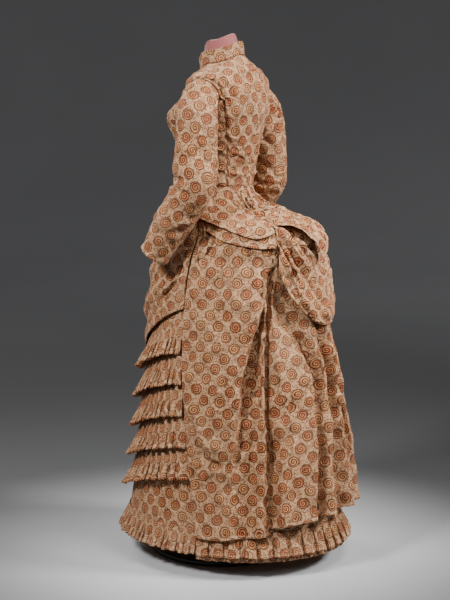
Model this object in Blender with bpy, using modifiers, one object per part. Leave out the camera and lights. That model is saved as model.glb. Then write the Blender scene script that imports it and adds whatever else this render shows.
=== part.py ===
"""A bustle dress of printed cotton on a limbless dress form, modelled for Blender 4.5.

Metres, +Z up. The wearer faces -Y, so +Y is the bustle side and +X the wearer's left. The origin is the
middle of the underside of the stand's foot. Angles round the body are in degrees: -90 front, 0 left side,
90 back. Every piece of cloth is an open sheet lofted through sections, given its wall by a Solidify modifier.
"""

import math
from collections import namedtuple

import bmesh
import bpy
from mathutils import Matrix, Vector

# ---------------------------------------------------------------- driving sizes
CLOTH = 0.0015  # wall of every cloth piece
COLLAR_CLOTH = 0.0022  # the collar is stiffened
SEAM = 0.0007  # gap between two pieces sewn edge to edge
WAIST_Z = 1.060
HEM_Z = 0.085  # underskirt hem; the frill below it reaches lower
FORM_INSET = 0.0050  # dress form inside the outer face of the bodice
FOOT_RADIUS = 0.205
FOOT_THICKNESS = 0.014
POLE_RADIUS = 0.016
MM = 0.001

# Outer face of the underskirt, one row for each level: the other skirt pieces stand off from it.
Section = namedtuple("Section", "z front half_width back square")
SKIRT = [
    Section(1.070, -0.0790, 0.0985, 0.0715, 2.0),
    Section(1.055, -0.0800, 0.1000, 0.0740, 2.0),
    Section(1.030, -0.0900, 0.1100, 0.0820, 2.0),
    Section(1.015, -0.0970, 0.1180, 0.0970, 2.0),
    Section(0.995, -0.1060, 0.1300, 0.1270, 2.1),
    Section(0.975, -0.1140, 0.1410, 0.1690, 2.2),
    Section(0.955, -0.1220, 0.1510, 0.2180, 2.3),
    Section(0.935, -0.1310, 0.1610, 0.2580, 2.3),
    Section(0.910, -0.1420, 0.1700, 0.2740, 2.2),
    Section(0.870, -0.1580, 0.1800, 0.2800, 2.1),
    Section(0.740, -0.1930, 0.2030, 0.2880, 2.0),
    Section(0.540, -0.2190, 0.2290, 0.3060, 2.0),
    Section(0.290, -0.2500, 0.2550, 0.3360, 2.0),
    Section(0.090, -0.2800, 0.2740, 0.3600, 2.0),
    Section(0.040, -0.2880, 0.2790, 0.3680, 2.0),
]
SKIRT_LEVELS = [1.070, 1.030, 1.015, 0.995, 0.975, 0.935, 0.905, 0.850, 0.740, 0.620, 0.450, 0.270, HEM_Z]
GORE_COLUMNS = 8

# Outer face of the bodice, from the waist seam up to the neck seam; a level bends down at front or back.
Girth = namedtuple("Girth", "z_front z_side z_back front half_width back square")
TORSO = [
    Girth(1.060, 1.060, 1.060, -0.089, 0.109, 0.083, 2.0),
    Girth(1.115, 1.115, 1.115, -0.102, 0.114, 0.090, 2.05),
    Girth(1.172, 1.172, 1.174, -0.122, 0.126, 0.101, 2.1),
    Girth(1.222, 1.224, 1.228, -0.1455, 0.141, 0.113, 2.2),
    Girth(1.262, 1.264, 1.276, -0.141, 0.153, 0.119, 2.35),
    Girth(1.310, 1.312, 1.330, -0.087, 0.159, 0.116, 2.15),
    Girth(1.340, 1.354, 1.375, -0.066, 0.165, 0.100, 2.0),
    Girth(1.358, 1.379, 1.402, -0.062, 0.116, 0.081, 2.0),
    Girth(1.370, 1.399, 1.423, -0.060, 0.060, 0.064, 2.0),
]
UNDERARM, SHOULDER_TIP, NECK = 3.2, 6.0, 8.0  # row numbers of TORSO
ARM_FRONT, ARM_BACK = 31.0, 30.0  # half-angles that the armhole spans
ARM_STEPS = 6  # rows between underarm and shoulder tip
FRONT_COLUMNS = 6
PRINCESS_LOW, PRINCESS_HIGH = 43.0, 37.5  # back seam, at the waist and where it meets the armhole
PRINCESS_TOP = 4.6  # row where that seam runs into the armhole

# Left sleeve below the armhole: the middle, radii across and front to back, and the lean of each section.
Cuff = namedtuple("Cuff", "x y z across deep lean_forward")
SLEEVE = [
    Cuff(0.2070, 0.033, 1.215, 0.0550, 0.0590, 0.0),
    Cuff(0.2130, 0.034, 1.165, 0.0555, 0.0585, 2.0),
    Cuff(0.2190, 0.036, 1.115, 0.0555, 0.0590, 8.0),
    Cuff(0.2240, 0.031, 1.068, 0.0550, 0.0600, 20.0),
    Cuff(0.2270, 0.007, 1.020, 0.0530, 0.0570, 31.0),
    Cuff(0.2290, -0.027, 0.970, 0.0490, 0.0520, 34.0),
    Cuff(0.2300, -0.059, 0.922, 0.0445, 0.0470, 35.0),
    Cuff(0.2310, -0.087, 0.876, 0.0410, 0.0430, 35.0),
]
SLEEVE_COLUMNS = 2 * ARM_STEPS
SLEEVE_SEAM = 0.0012  # gap on the outer face, where the walls' inner edges lean together
SLEEVE_HEAD_ROWS = 4
SLEEVE_SET = 0.986  # size of the sleeve's own edge against the armhole's

# Fold lines of a hanging panel: the angle and the stand-off in mm at each of the levels above the table, and
# the height of the hem there.
Fold = namedtuple("Fold", "name angles outs hem")
SIDE_LEVELS = [1.020, 0.920, 0.820, 0.640, 0.440, 0.240, 0.110]
SIDE_FOLDS = [
    Fold("front_edge", (-12, -13, -13, -11, -6, 1, 4), (2.2, 7, 8, 10, 12, 14, 15), 0.112),
    Fold("front_flat", (-3, -4, -5, -5, -2, 5, 8), (2.2, 8, 11, 16, 17, 17, 17), 0.110),
    Fold("side_flat", (8, 8, 7, 4, 6, 11, 13), (2.2, 9, 13, 20, 23, 21, 21), 0.108),
    Fold("side_full", (20, 20, 18, 14, 14, 17, 18), (2.2, 10, 15, 25, 29, 24, 24), 0.108),
    Fold("swag_ridge", (36, 37, 36, 31, 25, 22, 22), (2.2, 9, 21, 38, 38, 29, 28), 0.112),
    Fold("recess_near", (42, 43, 41, 35, 29, 26, 26), (2.2, 8, 10, 8, 8, 14, 17), 0.114),
    Fold("recess_far", (45, 46, 45, 41, 36, 32, 32), (2.2, 8, 9, 6, 6, 12, 15), 0.116),
    Fold("narrow_ridge", (47, 48, 47, 44.5, 41, 38.5, 37.5), (2.2, 9, 13, 22, 28, 31, 32), 0.120),
    Fold("groove", (49, 50, 49.5, 47.5, 44, 43, 42.5), (2.2, 8, 7, 6, 7, 9, 10), 0.126),
]
BACK_LEVELS = [0.905, 0.820, 0.690, 0.600, 0.440, 0.240, 0.135]
BACK_FOLDS = [
    Fold("lapped_edge", (49, 48.2, 46.7, 45.2, 42.7, 41.7, 41.2), (2.5, 2.5, 2.5, 2.5, 3, 4, 5), 0.138),
    Fold("groove", (51, 50.5, 49, 47.5, 45, 44, 43.5), (3, 6, 6, 6, 7, 9, 10), 0.140),
    Fold("second_ridge", (53, 53, 52.5, 51.5, 49.5, 48.5, 48), (3, 9, 20, 26, 34, 38, 40), 0.142),
    Fold("second_flat", (57, 57, 57, 57, 55.5, 54.5, 54), (3, 7, 17, 24, 34, 42, 46), 0.146),
    Fold("third_ridge", (63, 63, 64, 64, 63, 62, 61), (3, 7, 20, 32, 44, 50, 51), 0.152),
    Fold("third_valley", (69, 69, 70, 70, 70, 69, 68), (3, 5, 8, 11, 17, 22, 26), 0.156),
    Fold("fourth_ridge", (75, 75, 76, 76, 76, 76, 76), (3, 8, 22, 47, 54, 62, 66), 0.160),
    Fold("fourth_valley", (82, 82, 83, 83, 83, 83, 83), (3, 5, 9, 16, 24, 30, 34), 0.163),
    Fold("middle_ridge", (90, 90, 90, 90, 90, 90, 90), (3, 9, 24, 50, 57, 64, 68), 0.165),
]
SIDE_TOP, BACK_TOP = 1.016, 0.905
# Places of the side panel's rows, as shares of the way down.
SIDE_SHARES = [0, 0.025, 0.047, 0.07, 0.097, 0.14, 0.2, 0.28, 0.39, 0.51, 0.64, 0.76, 0.88, 1]
BACK_ROWS = 8

# How far a piece stands off from the skirt, in mm, at a share of the way from its top to its hem.
Stand = namedtuple("Stand", "share mm")

APRON_EDGE_GAP = 0.5  # degrees between the apron's edge and the side panel's
APRON_TOP = 1.030
APRON_HEM_SIDE, APRON_HEM_FRONT = 0.735, 0.575
APRON_FOLD_MM, APRON_FOLDS = 7.0, 4
APRON_ROWS, APRON_COLUMNS = 12, 20
APRON_SIDE = 25.0  # degrees over which its fullness dies away towards each edge
APRON_MIDDLE_OUT = [Stand(0, 2.2), Stand(0.15, 6), Stand(0.45, 15), Stand(0.8, 21), Stand(1.0, 20)]
APRON_EDGE_OUT = [Stand(0, 2.2), Stand(0.3, 7.5), Stand(1.0, 9.5)]

# Ruffles of the skirt front, lowest at the middle of the front.
RUFFLES = 5
RUFFLE_HEM_SIDE, RUFFLE_SPACING, RUFFLE_SWAG = 0.610, 0.087, 0.100
RUFFLE_DEPTH = 0.088
RUFFLE_WAVES = 26
RUFFLE_TOP_MM, RUFFLE_FLARE_MM, RUFFLE_WAVE_MM = 2.2, 24.0, 5.0
RUFFLE_EDGE_GAP = 0.5  # degrees between a ruffle's end and the side panel
RUFFLE_END_FLARE, RUFFLE_END = 0.45, 14.0  # share of the flare at its ends, and the degrees it takes to grow

FLOUNCE_TOP, FLOUNCE_HEM = 0.128, 0.062
FLOUNCE_EDGE = 5.0  # degrees back from the side, where the gathers end and the box pleats start
GATHERS, GATHER_TOP_MM, GATHER_FLARE_MM, GATHER_MM = 24, 2.2, 16.0, 4.0
BOX_PLEATS, PLEAT_TOP_MM, PLEAT_FLARE_MM = 22, 2.4, 12.0
PLEAT_TOP_RISE_MM, PLEAT_HEM_RISE_MM = 0.5, 6.0
PleatMark = namedtuple("PleatMark", "share rise")
PLEAT = [PleatMark(0.12, 0.0), PleatMark(0.2, 1.0), PleatMark(0.8, 1.0), PleatMark(0.88, 0.0)]
FRILL_TOP, FRILL_HEM = 0.092, 0.048
FRILL_WAVES, FRILL_TOP_MM, FRILL_FLARE_MM, FRILL_WAVE_MM = 24, 2.0, 4.5, 2.0

PUFF_TOP = 0.995
PUFF_EDGE_TOP, PUFF_EDGE_LOW = 49.5, 50.5
PUFF_TACK_Z, PUFF_MIDDLE_Z = 0.850, 0.680
PUFF_FOLD_MM, PUFF_FOLDS = 9.0, 3.5
PUFF_ROWS, PUFF_COLUMNS = 14, 18
PUFF_ROUND = 0.6  # power of the sine that gives the fullness across; less is boxier
PUFF_ROLL_MM, PUFF_ROLL_Z = 18.0, 0.018  # how far the last row turns in and up
PUFF_MIDDLE_OUT = [Stand(0, 4), Stand(0.15, 8), Stand(0.4, 22), Stand(0.7, 45), Stand(0.92, 55), Stand(1, 50)]
PUFF_EDGE_OUT = [Stand(0, 4), Stand(0.5, 10), Stand(1.0, 13)]

# Angle of the seam between the basque's side and its pleated tail, at each height.
Seam = namedtuple("Seam", "z angle")
TAIL_SEAM = [Seam(1.060, 66.0), Seam(1.020, 60.0), Seam(0.980, 53.0), Seam(0.940, 49.0), Seam(0.900, 48.0)]
TAIL_SIDE_Z, TAIL_TONGUE, TAIL_TONGUE_WIDTH = 0.950, 0.080, 0.45
TAIL_PLEATS, TAIL_PLEAT_MM = 6, 3.5
TAIL_COLUMNS, TAIL_ROWS = 18, 8
TAIL_OUT = [Stand(0, 9), Stand(0.2, 12), Stand(0.5, 22), Stand(1.0, 42)]

Hem = namedtuple("Hem", "angle z")
BASQUE_SIDE, BASQUE_BACK = -12.0, 48.0
BASQUE_ROWS, BASQUE_FRONT_COLUMNS, BASQUE_SIDE_COLUMNS = 6, 6, 7
BASQUE_HEM = [
    Hem(-90, 0.955),
    Hem(-60, 0.962),
    Hem(-25, 0.975),
    Hem(-10, 0.966),
    Hem(5, 0.938),
    Hem(20, 0.918),
    Hem(48, 0.915),
]
BASQUE_OUT = [Stand(0, 9.0), Stand(0.3, 9.5), Stand(1.0, 18.5)]
HIP_FRONT, HIP_TOP = -5.0, 0.975
HIP_HEM = [Hem(-5, 0.928), Hem(8, 0.905), Hem(20, 0.893), Hem(35, 0.884), Hem(48, 0.880)]
HIP_OUT = [Stand(0, 8.0), Stand(1.0, 17.5)]
HIP_ROWS, HIP_COLUMNS = 5, 8

BUTTONS, BUTTON_TURN = 10, 4.0  # turn is the degrees from the middle of the front to the line of buttons
BUTTON_RADIUS, BUTTON_HEIGHT = 0.006, 0.0030
BUTTON_MARGIN = 0.014  # along the line, from its ends to the first and last button
TOUCH = 0.0004  # gap between hard pieces that rest on each other

# Rings of the standing collar, from its edge down to the neck seam.
CollarRing = namedtuple("CollarRing", "height lean")
COLLAR = [CollarRing(0.0370, 0.0045), CollarRing(0.0190, 0.0020), CollarRing(0.0010, 0.0)]
COLLAR_OUT, COLLAR_OPENING, COLLAR_COLUMNS = 0.0012, 0.0012, 24

# The dress form below the bodice's waist, and its flat-cut neck.
FORM_ROWS = (8.0, 7.5, 7.0, 6.5, 6.0, 5.3, 4.6, 3.9, 3.2, 2.6, 2.0, 1.0)
FORM_HIPS = [
    Section(1.082, -0.0760, 0.0950, 0.0680, 2.0),
    Section(1.045, -0.0765, 0.0955, 0.0700, 2.0),
    Section(1.010, -0.0900, 0.1120, 0.0820, 2.0),
    Section(0.970, -0.1020, 0.1330, 0.1030, 2.0),
    Section(0.900, -0.1080, 0.1460, 0.1150, 2.0),
    Section(0.840, -0.1020, 0.1400, 0.1050, 2.0),
    Section(0.815, -0.0800, 0.1150, 0.0800, 2.0),
]
NECK_TOP = Girth(1.445, 1.464, 1.482, -0.048, 0.046, 0.037, 2.0)
FORM_COLUMNS = 24
FOOT_BEVEL = 0.004


# ---------------------------------------------------------------- reading the tables
def smooth(keys, values, at):
    """The value at a key, on a curve through the table's values (keys rise or fall)."""
    if keys[0] > keys[-1]:
        keys, values = keys[::-1], values[::-1]
    if at <= keys[0]:
        return values[0]
    if at >= keys[-1]:
        return values[-1]
    i = max(k for k in range(len(keys) - 1) if keys[k] <= at)
    slopes = []
    for k in (i, i + 1):
        low, high = max(k - 1, 0), min(k + 1, len(keys) - 1)
        slopes.append((values[high] - values[low]) / (keys[high] - keys[low]))
    span = keys[i + 1] - keys[i]
    t = (at - keys[i]) / span
    return (
        (2 * t**3 - 3 * t**2 + 1) * values[i]
        + (t**3 - 2 * t**2 + t) * span * slopes[0]
        + (3 * t**2 - 2 * t**3) * values[i + 1]
        + (t**3 - t**2) * span * slopes[1]
    )


def row_of(table, keys, at):
    """A row between the rows of a table, each column read on its own curve."""
    return type(table[0])(*(smooth(keys, [row[c] for row in table], at) for c in range(len(table[0]))))


def along(table, at):
    """The second column of a two-column table, at a value of the first."""
    return smooth([key for key, _ in table], [value for _, value in table], at)


def oval(front, half_width, back, square, angle):
    """x and y of a closed oval at an angle; square 2 is an ellipse and more is boxier."""
    c, s = math.cos(math.radians(angle)), math.sin(math.radians(angle))
    k = (abs(c) ** square + abs(s) ** square) ** (-1 / square)
    return half_width * k * c, (front + back) / 2 + (back - front) / 2 * k * s


# ---------------------------------------------------------------- the two guiding surfaces
def skirt_base(angle, z):
    """A point on the underskirt's outer face."""
    at = row_of(SKIRT, [s.z for s in SKIRT], z)
    return Vector((*oval(at.front, at.half_width, at.back, at.square, angle), z))


def skirt_point(angle, z, out_mm):
    """A point that stands off from the underskirt, square to its face."""
    small = 0.002
    round_it = skirt_base(angle + 0.5, z) - skirt_base(angle - 0.5, z)
    down = skirt_base(angle, z - small) - skirt_base(angle, z + small)
    return skirt_base(angle, z) + down.cross(round_it).normalized() * out_mm * MM


def girth_point(at, angle):
    """A point on a girth, whose level bends towards the front and the back."""
    side = math.cos(math.radians(angle)) ** 2
    end = at.z_back if angle > 0 else at.z_front
    x, y = oval(at.front, at.half_width, at.back, at.square, angle)
    return Vector((x, y, at.z_side * side + end * (1 - side)))


def torso_base(angle, row):
    """A point on the bodice's outer face; the row is a place in the table of girths."""
    return girth_point(row_of(TORSO, list(range(len(TORSO))), row), angle)


def torso_normal(angle, row):
    low, high = max(row - 0.05, 0.0), min(row + 0.05, NECK)
    round_it = torso_base(angle + 0.5, row) - torso_base(angle - 0.5, row)
    return (torso_base(angle, low) - torso_base(angle, high)).cross(round_it).normalized()


def torso_point(angle, row, out=0.0):
    """A point on the bodice's outer face, or out metres from it."""
    return torso_base(angle, row) + torso_normal(angle, row) * out


def steps(first, last, count):
    """count + 1 even steps from first to last."""
    return [first + (last - first) * k / count for k in range(count + 1)]


def eased(row, gap=SEAM):
    """A row of a sheet with both ends drawn in by half a seam's gap."""
    first = row[0].lerp(row[1], gap / 2 / (row[1] - row[0]).length)
    last = row[-1].lerp(row[-2], gap / 2 / (row[-2] - row[-1]).length)
    return [first, *row[1:-1], last]


# ---------------------------------------------------------------- making solids
def material(name, colour, roughness, metallic=0.0):
    made = bpy.data.materials.new(name)
    made.use_nodes = True
    shader = made.node_tree.nodes["Principled BSDF"]
    shader.inputs["Base Color"].default_value = (*colour, 1.0)
    shader.inputs["Roughness"].default_value = roughness
    shader.inputs["Metallic"].default_value = metallic
    made.diffuse_color = (*colour, 1.0)
    return made


def add_object(name, mesh, finish):
    made = bpy.data.objects.new(name, mesh)
    made.data.materials.append(finish)
    PARTS.objects.link(made)
    return made


def add_shape(name, shape, finish):
    """An object from a bmesh shape."""
    mesh = bpy.data.meshes.new(name)
    shape.to_mesh(mesh)
    shape.free()
    return add_object(name, mesh, finish)


def mirrored(grid):
    """The same sheet on the wearer's other side, with its faces still pointing out."""
    return [[Vector((-p.x, p.y, p.z)) for p in reversed(row)] for row in grid]


def sheet_mesh(name, grid, closed=False):
    """A lofted sheet: rows run downwards, columns by rising angle."""
    columns = len(grid[0])
    points = [p for row in grid for p in row]
    wraps = columns if closed else columns - 1
    faces = []
    for i in range(len(grid) - 1):
        for j in range(wraps):
            here, beside = i * columns + j, i * columns + (j + 1) % columns
            faces.append((here, here + columns, beside + columns, beside))
    mesh = bpy.data.meshes.new(name)
    mesh.from_pydata(points, [], faces)
    mesh.shade_smooth()
    mesh.set_sharp_from_angle(angle=math.radians(50))
    return mesh


def cloth(name, grid, finish, wall=CLOTH, closed=False):
    """A piece of cloth: its sheet is the outer face and the wall grows inwards."""
    made = add_object(name, sheet_mesh(name, grid, closed), finish)
    solidify = made.modifiers.new("wall", "SOLIDIFY")
    solidify.thickness = wall
    solidify.offset = -1.0
    return made


# ---------------------------------------------------------------- bodice
def armhole(turn):
    """Angle and row on the armhole's edge; turn 0 is the underarm, 90 the front, 180 the shoulder tip."""
    c, s = math.cos(math.radians(turn)), math.sin(math.radians(turn))
    half = ARM_FRONT if s > 0 else ARM_BACK
    return -half * s, UNDERARM + (SHOULDER_TIP - UNDERARM) * (1 - c) / 2


def torso_rows():
    """The rows that every bodice panel uses, from the neck down to the waist."""
    over_arm = [armhole(180 - 180 * k / ARM_STEPS)[1] for k in range(ARM_STEPS + 1)]
    rows = [NECK, 7.5, 7.0, 6.5, PRINCESS_TOP + 0.06] + over_arm + [2.6, 2.0, 1.0, 0.0]
    return sorted(rows, reverse=True)


def arm_edge(row, front):
    """The panel's edge angle at a row: the side seam, the armhole, or the shoulder seam."""
    if not UNDERARM < row < SHOULDER_TIP:
        return 0.0
    turn = math.degrees(math.acos(1 - 2 * (row - UNDERARM) / (SHOULDER_TIP - UNDERARM)))
    return armhole(turn if front else -turn)[0]


def princess(row):
    """The back seam between side back and centre back, which curves up to the armhole."""
    share = min(1.0, row / PRINCESS_TOP)
    return PRINCESS_LOW + (PRINCESS_HIGH - PRINCESS_LOW) * share**2


def make_bodice(finish):
    fronts, centres, sides = [], [], []
    for r in torso_rows():
        fronts.append(eased([torso_point(a, r) for a in steps(-90, arm_edge(r, True), FRONT_COLUMNS)]))
        inner = princess(r) if r <= PRINCESS_TOP else arm_edge(r, False)
        centres.append(eased([torso_point(a, r) for a in steps(inner, 90, 4)]))
        if r <= PRINCESS_TOP:
            sides.append(eased([torso_point(a, r) for a in steps(arm_edge(r, False), inner, 2)]))
    for name, grid in (("front", fronts), ("side_back", sides), ("centre_back", centres)):
        cloth(f"bodice_{name}_left", grid, finish)
        cloth(f"bodice_{name}_right", mirrored(grid), finish)


def make_collar(finish):
    """A standing collar, open at the front, that leans forward a little from the neck seam."""
    grid = []
    for ring in COLLAR:
        row = []
        for a in steps(-90, 270, COLLAR_COLUMNS):
            seam = torso_base(a if a <= 180 else a - 360, NECK)
            away = Vector((seam.x, seam.y, 0)).normalized()
            row.append(seam + away * COLLAR_OUT + Vector((0, -ring.lean, ring.height)))
        grid.append(eased(row, COLLAR_OPENING))
    cloth("collar", grid, finish, wall=COLLAR_CLOTH)


def button_line():
    """The line down the front's facets that the buttons are sewn on, with the way across at each point."""
    line = []
    for r in torso_rows():
        column = (arm_edge(r, True) + 90) / FRONT_COLUMNS
        middle, beside = torso_point(-90, r), torso_point(-90 + column, r)
        line.append((middle.lerp(beside, BUTTON_TURN / column), (beside - middle).normalized()))
    return line


def along_line(line, distance):
    """The point at a distance down the line, with the ways down and across there."""
    i = 0
    while i < len(line) - 2 and distance > (line[i + 1][0] - line[i][0]).length:
        distance -= (line[i + 1][0] - line[i][0]).length
        i += 1
    start, across = line[i]
    down = (line[i + 1][0] - start).normalized()
    return start + down * distance, down, across


def make_buttons(finish):
    """Covered buttons down the right front, each seated square to the front and clear of its bends."""
    line = button_line()
    length = sum((b[0] - a[0]).length for a, b in zip(line, line[1:]))
    for k, distance in enumerate(steps(length - BUTTON_MARGIN, BUTTON_MARGIN, BUTTONS - 1)):
        seat, down, across = along_line(line, distance)
        out = down.cross(across).normalized()
        rim = [along_line(line, distance + BUTTON_RADIUS * side)[0] for side in (-1, 1)]
        rise = max(0.0, *((point - seat).dot(out) for point in rim))
        middle = seat + out * (rise + TOUCH + BUTTON_HEIGHT / 2)
        shape = bmesh.new()
        bmesh.ops.create_cone(
            shape,
            cap_ends=True,
            segments=12,
            radius1=BUTTON_RADIUS,
            radius2=BUTTON_RADIUS * 0.7,
            depth=BUTTON_HEIGHT,
        )
        button = add_shape(f"button_{k + 1:02d}", shape, finish)
        out.x, middle.x = -out.x, -middle.x
        turned = out.to_track_quat("Z", "Y").to_matrix().to_4x4()
        button.matrix_world = Matrix.Translation(middle) @ turned


# ---------------------------------------------------------------- sleeves
def sleeve_ring(at):
    """The points round one section of the left sleeve, from the inner side by way of the front."""
    lean = math.radians(at.lean_forward)
    back = Vector((0, math.cos(lean), -math.sin(lean)))
    ring = []
    for turn in steps(0, 360, SLEEVE_COLUMNS):
        c, s = math.cos(math.radians(turn)), math.sin(math.radians(turn))
        ring.append(Vector((at.x - at.across * c, at.y, at.z)) - back * at.deep * s)
    return ring


def blend(t, start, leaving, end, arriving):
    """A point on the curve that leaves start and arrives at end in the given directions."""
    return (
        (2 * t**3 - 3 * t**2 + 1) * start
        + (t**3 - 2 * t**2 + t) * leaving
        + (3 * t**2 - 2 * t**3) * end
        + (t**3 - t**2) * arriving
    )


def sleeve_head():
    """The cap: curves from just inside the armhole's edge, out and down to the first section below it."""
    first = sleeve_ring(SLEEVE[0])
    middle = (UNDERARM + SHOULDER_TIP) / 2
    grid = [[] for _ in range(SLEEVE_HEAD_ROWS)]
    for j, turn in enumerate(steps(0, 360, SLEEVE_COLUMNS)):
        angle, row = armhole(turn)
        start = torso_base(angle * SLEEVE_SET, middle + (row - middle) * SLEEVE_SET)
        high = (1 - math.cos(math.radians(turn))) / 2
        spread = -math.sin(math.radians(turn)) * (0.4 if turn > 180 else 0.1)
        leaving = Vector((1.0, spread, -0.35 * high)).normalized()
        reach = (first[j] - start).length * 1.15
        for i in range(SLEEVE_HEAD_ROWS):
            t = i / SLEEVE_HEAD_ROWS
            grid[i].append(blend(t, start, leaving * reach, first[j], Vector((0, 0, -reach))))
    return grid


def make_sleeves(finish):
    """Two-piece sleeves, seamed along the front and the back of the arm."""
    grid = sleeve_head() + [sleeve_ring(at) for at in SLEEVE]
    quarter = SLEEVE_COLUMNS // 4
    upper = [eased(row[quarter : 3 * quarter + 1], SLEEVE_SEAM) for row in grid]
    under = [eased(row[3 * quarter : -1] + row[: quarter + 1], SLEEVE_SEAM) for row in grid]
    for name, half in (("upper", upper), ("under", under)):
        cloth(f"sleeve_{name}_left", half, finish)
        cloth(f"sleeve_{name}_right", mirrored(half), finish)


# ---------------------------------------------------------------- skirts
def hung(levels, folds, top, shares):
    """A panel hung in folds: each fold line runs from the top to its own hem, with a row for each share."""
    grid = []
    for share in shares:
        row = []
        for fold in folds:
            z = top + (fold.hem - top) * share
            row.append(skirt_point(smooth(levels, fold.angles, z), z, smooth(levels, fold.outs, z)))
        grid.append(eased(row))
    return grid


def make_underskirt(finish):
    """Four gores from the waist to the hem."""
    for name, middle in (("front", -90), ("left", 0), ("back", 90), ("right", 180)):
        grid = [
            eased([skirt_point(a, z, 0.0) for a in steps(middle - 45, middle + 45, GORE_COLUMNS)])
            for z in SKIRT_LEVELS
        ]
        cloth(f"underskirt_{name}", grid, finish)


def panel_edge(z):
    """The angle of the side panel's front edge at a height."""
    return smooth(SIDE_LEVELS, SIDE_FOLDS[0].angles, z)


def end_share(angle, edge):
    """1 across the front, falling to 0 at a strip's two ends."""
    return min(1.0, (edge - angle) / RUFFLE_END, (angle + 180 + edge) / RUFFLE_END)


def make_ruffles(finish):
    """Gathered strips across the skirt's front, from side panel to side panel."""
    columns = RUFFLE_WAVES * 2
    for k in range(RUFFLES):
        grid = []
        low = RUFFLE_HEM_SIDE - RUFFLE_SPACING * k
        for v in (0.0, 0.5, 1.0):
            edge = panel_edge(low + RUFFLE_DEPTH * (1 - v)) - RUFFLE_EDGE_GAP
            row = []
            for j in range(columns + 1):
                angle = -180 - edge + (180 + 2 * edge) * j / columns
                z = low - RUFFLE_SWAG * math.sin(math.radians(angle)) ** 2 + RUFFLE_DEPTH * (1 - v)
                flare = RUFFLE_FLARE_MM * (RUFFLE_END_FLARE + (1 - RUFFLE_END_FLARE) * end_share(angle, edge))
                out = RUFFLE_TOP_MM + flare * v**1.3 + RUFFLE_WAVE_MM * v * (-1) ** j
                row.append(skirt_point(angle, z, out))
            grid.append(row)
        cloth(f"ruffle_{k + 1}", grid, finish)


def make_flounce(finish):
    """The hem flounce: gathered across the front, in box pleats round the sides and back."""
    grid = []
    for v in (0.0, 0.5, 1.0):
        z = FLOUNCE_TOP + (FLOUNCE_HEM - FLOUNCE_TOP) * v
        row = []
        for j in range(GATHERS * 2 + 1):
            angle = -180 - FLOUNCE_EDGE + (180 + 2 * FLOUNCE_EDGE) * j / (GATHERS * 2)
            out = GATHER_TOP_MM + GATHER_FLARE_MM * v**1.3 + GATHER_MM * v * (-1) ** j
            row.append(skirt_point(angle, z, out))
        grid.append(eased(row))
    cloth("flounce_front", grid, finish)

    width = (180 - 2 * FLOUNCE_EDGE) / BOX_PLEATS
    marks = [(FLOUNCE_EDGE + width * (p + m.share), m.rise) for p in range(BOX_PLEATS) for m in PLEAT]
    marks = [(FLOUNCE_EDGE, 0.0), *marks, (180 - FLOUNCE_EDGE, 0.0)]
    grid = []
    for v in (0.0, 1.0):
        z = FLOUNCE_TOP + (FLOUNCE_HEM - FLOUNCE_TOP) * v
        rise = PLEAT_TOP_RISE_MM + (PLEAT_HEM_RISE_MM - PLEAT_TOP_RISE_MM) * v
        out = PLEAT_TOP_MM + PLEAT_FLARE_MM * v
        grid.append(eased([skirt_point(a, z, out + up * rise) for a, up in marks]))
    cloth("flounce_back", grid, finish)


def make_frill(finish):
    """The narrow frill at the very hem, half hidden by the flounce's pleats."""
    grid = []
    for v in (0.0, 1.0):
        z = FRILL_TOP + (FRILL_HEM - FRILL_TOP) * v
        marks = enumerate(steps(FLOUNCE_EDGE, 180 - FLOUNCE_EDGE, FRILL_WAVES * 2))
        out = FRILL_TOP_MM + FRILL_FLARE_MM * v
        grid.append([skirt_point(a, z, out + FRILL_WAVE_MM * v * (-1) ** j) for j, a in marks])
    cloth("hem_frill", grid, finish)


def make_side_panels(finish):
    grid = hung(SIDE_LEVELS, SIDE_FOLDS, SIDE_TOP, SIDE_SHARES)
    cloth("side_panel_left", grid, finish)
    cloth("side_panel_right", mirrored(grid), finish)


def make_back_panel(finish):
    """The back breadth, folded alike to both sides of the middle."""
    other = [f._replace(angles=tuple(180 - a for a in f.angles)) for f in reversed(BACK_FOLDS[:-1])]
    cloth("back_panel", hung(BACK_LEVELS, BACK_FOLDS + other, BACK_TOP, steps(0, 1, BACK_ROWS)), finish)


def make_apron(finish):
    """The draped front: its hem sweeps up to the hips, with swags between."""
    grid = []
    for v in steps(0, 1, APRON_ROWS):
        row = []
        edge = panel_edge(APRON_TOP + (APRON_HEM_SIDE - APRON_TOP) * v) - APRON_EDGE_GAP
        for a in steps(-180 - edge, edge, APRON_COLUMNS):
            hem = APRON_HEM_SIDE + (APRON_HEM_FRONT - APRON_HEM_SIDE) * math.sin(math.radians(a)) ** 2
            z = APRON_TOP + (hem - APRON_TOP) * v
            swag = APRON_FOLD_MM * math.cos(2 * math.pi * APRON_FOLDS * v) * math.sin(math.pi * v) ** 0.5
            full = along(APRON_MIDDLE_OUT, v) + swag
            flat = along(APRON_EDGE_OUT, v)
            share = min(1.0, (edge - a) / APRON_SIDE, (a + 180 + edge) / APRON_SIDE)
            row.append(skirt_point(a, z, flat + (full - flat) * share))
        grid.append(row)
    cloth("apron", grid, finish)


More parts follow.
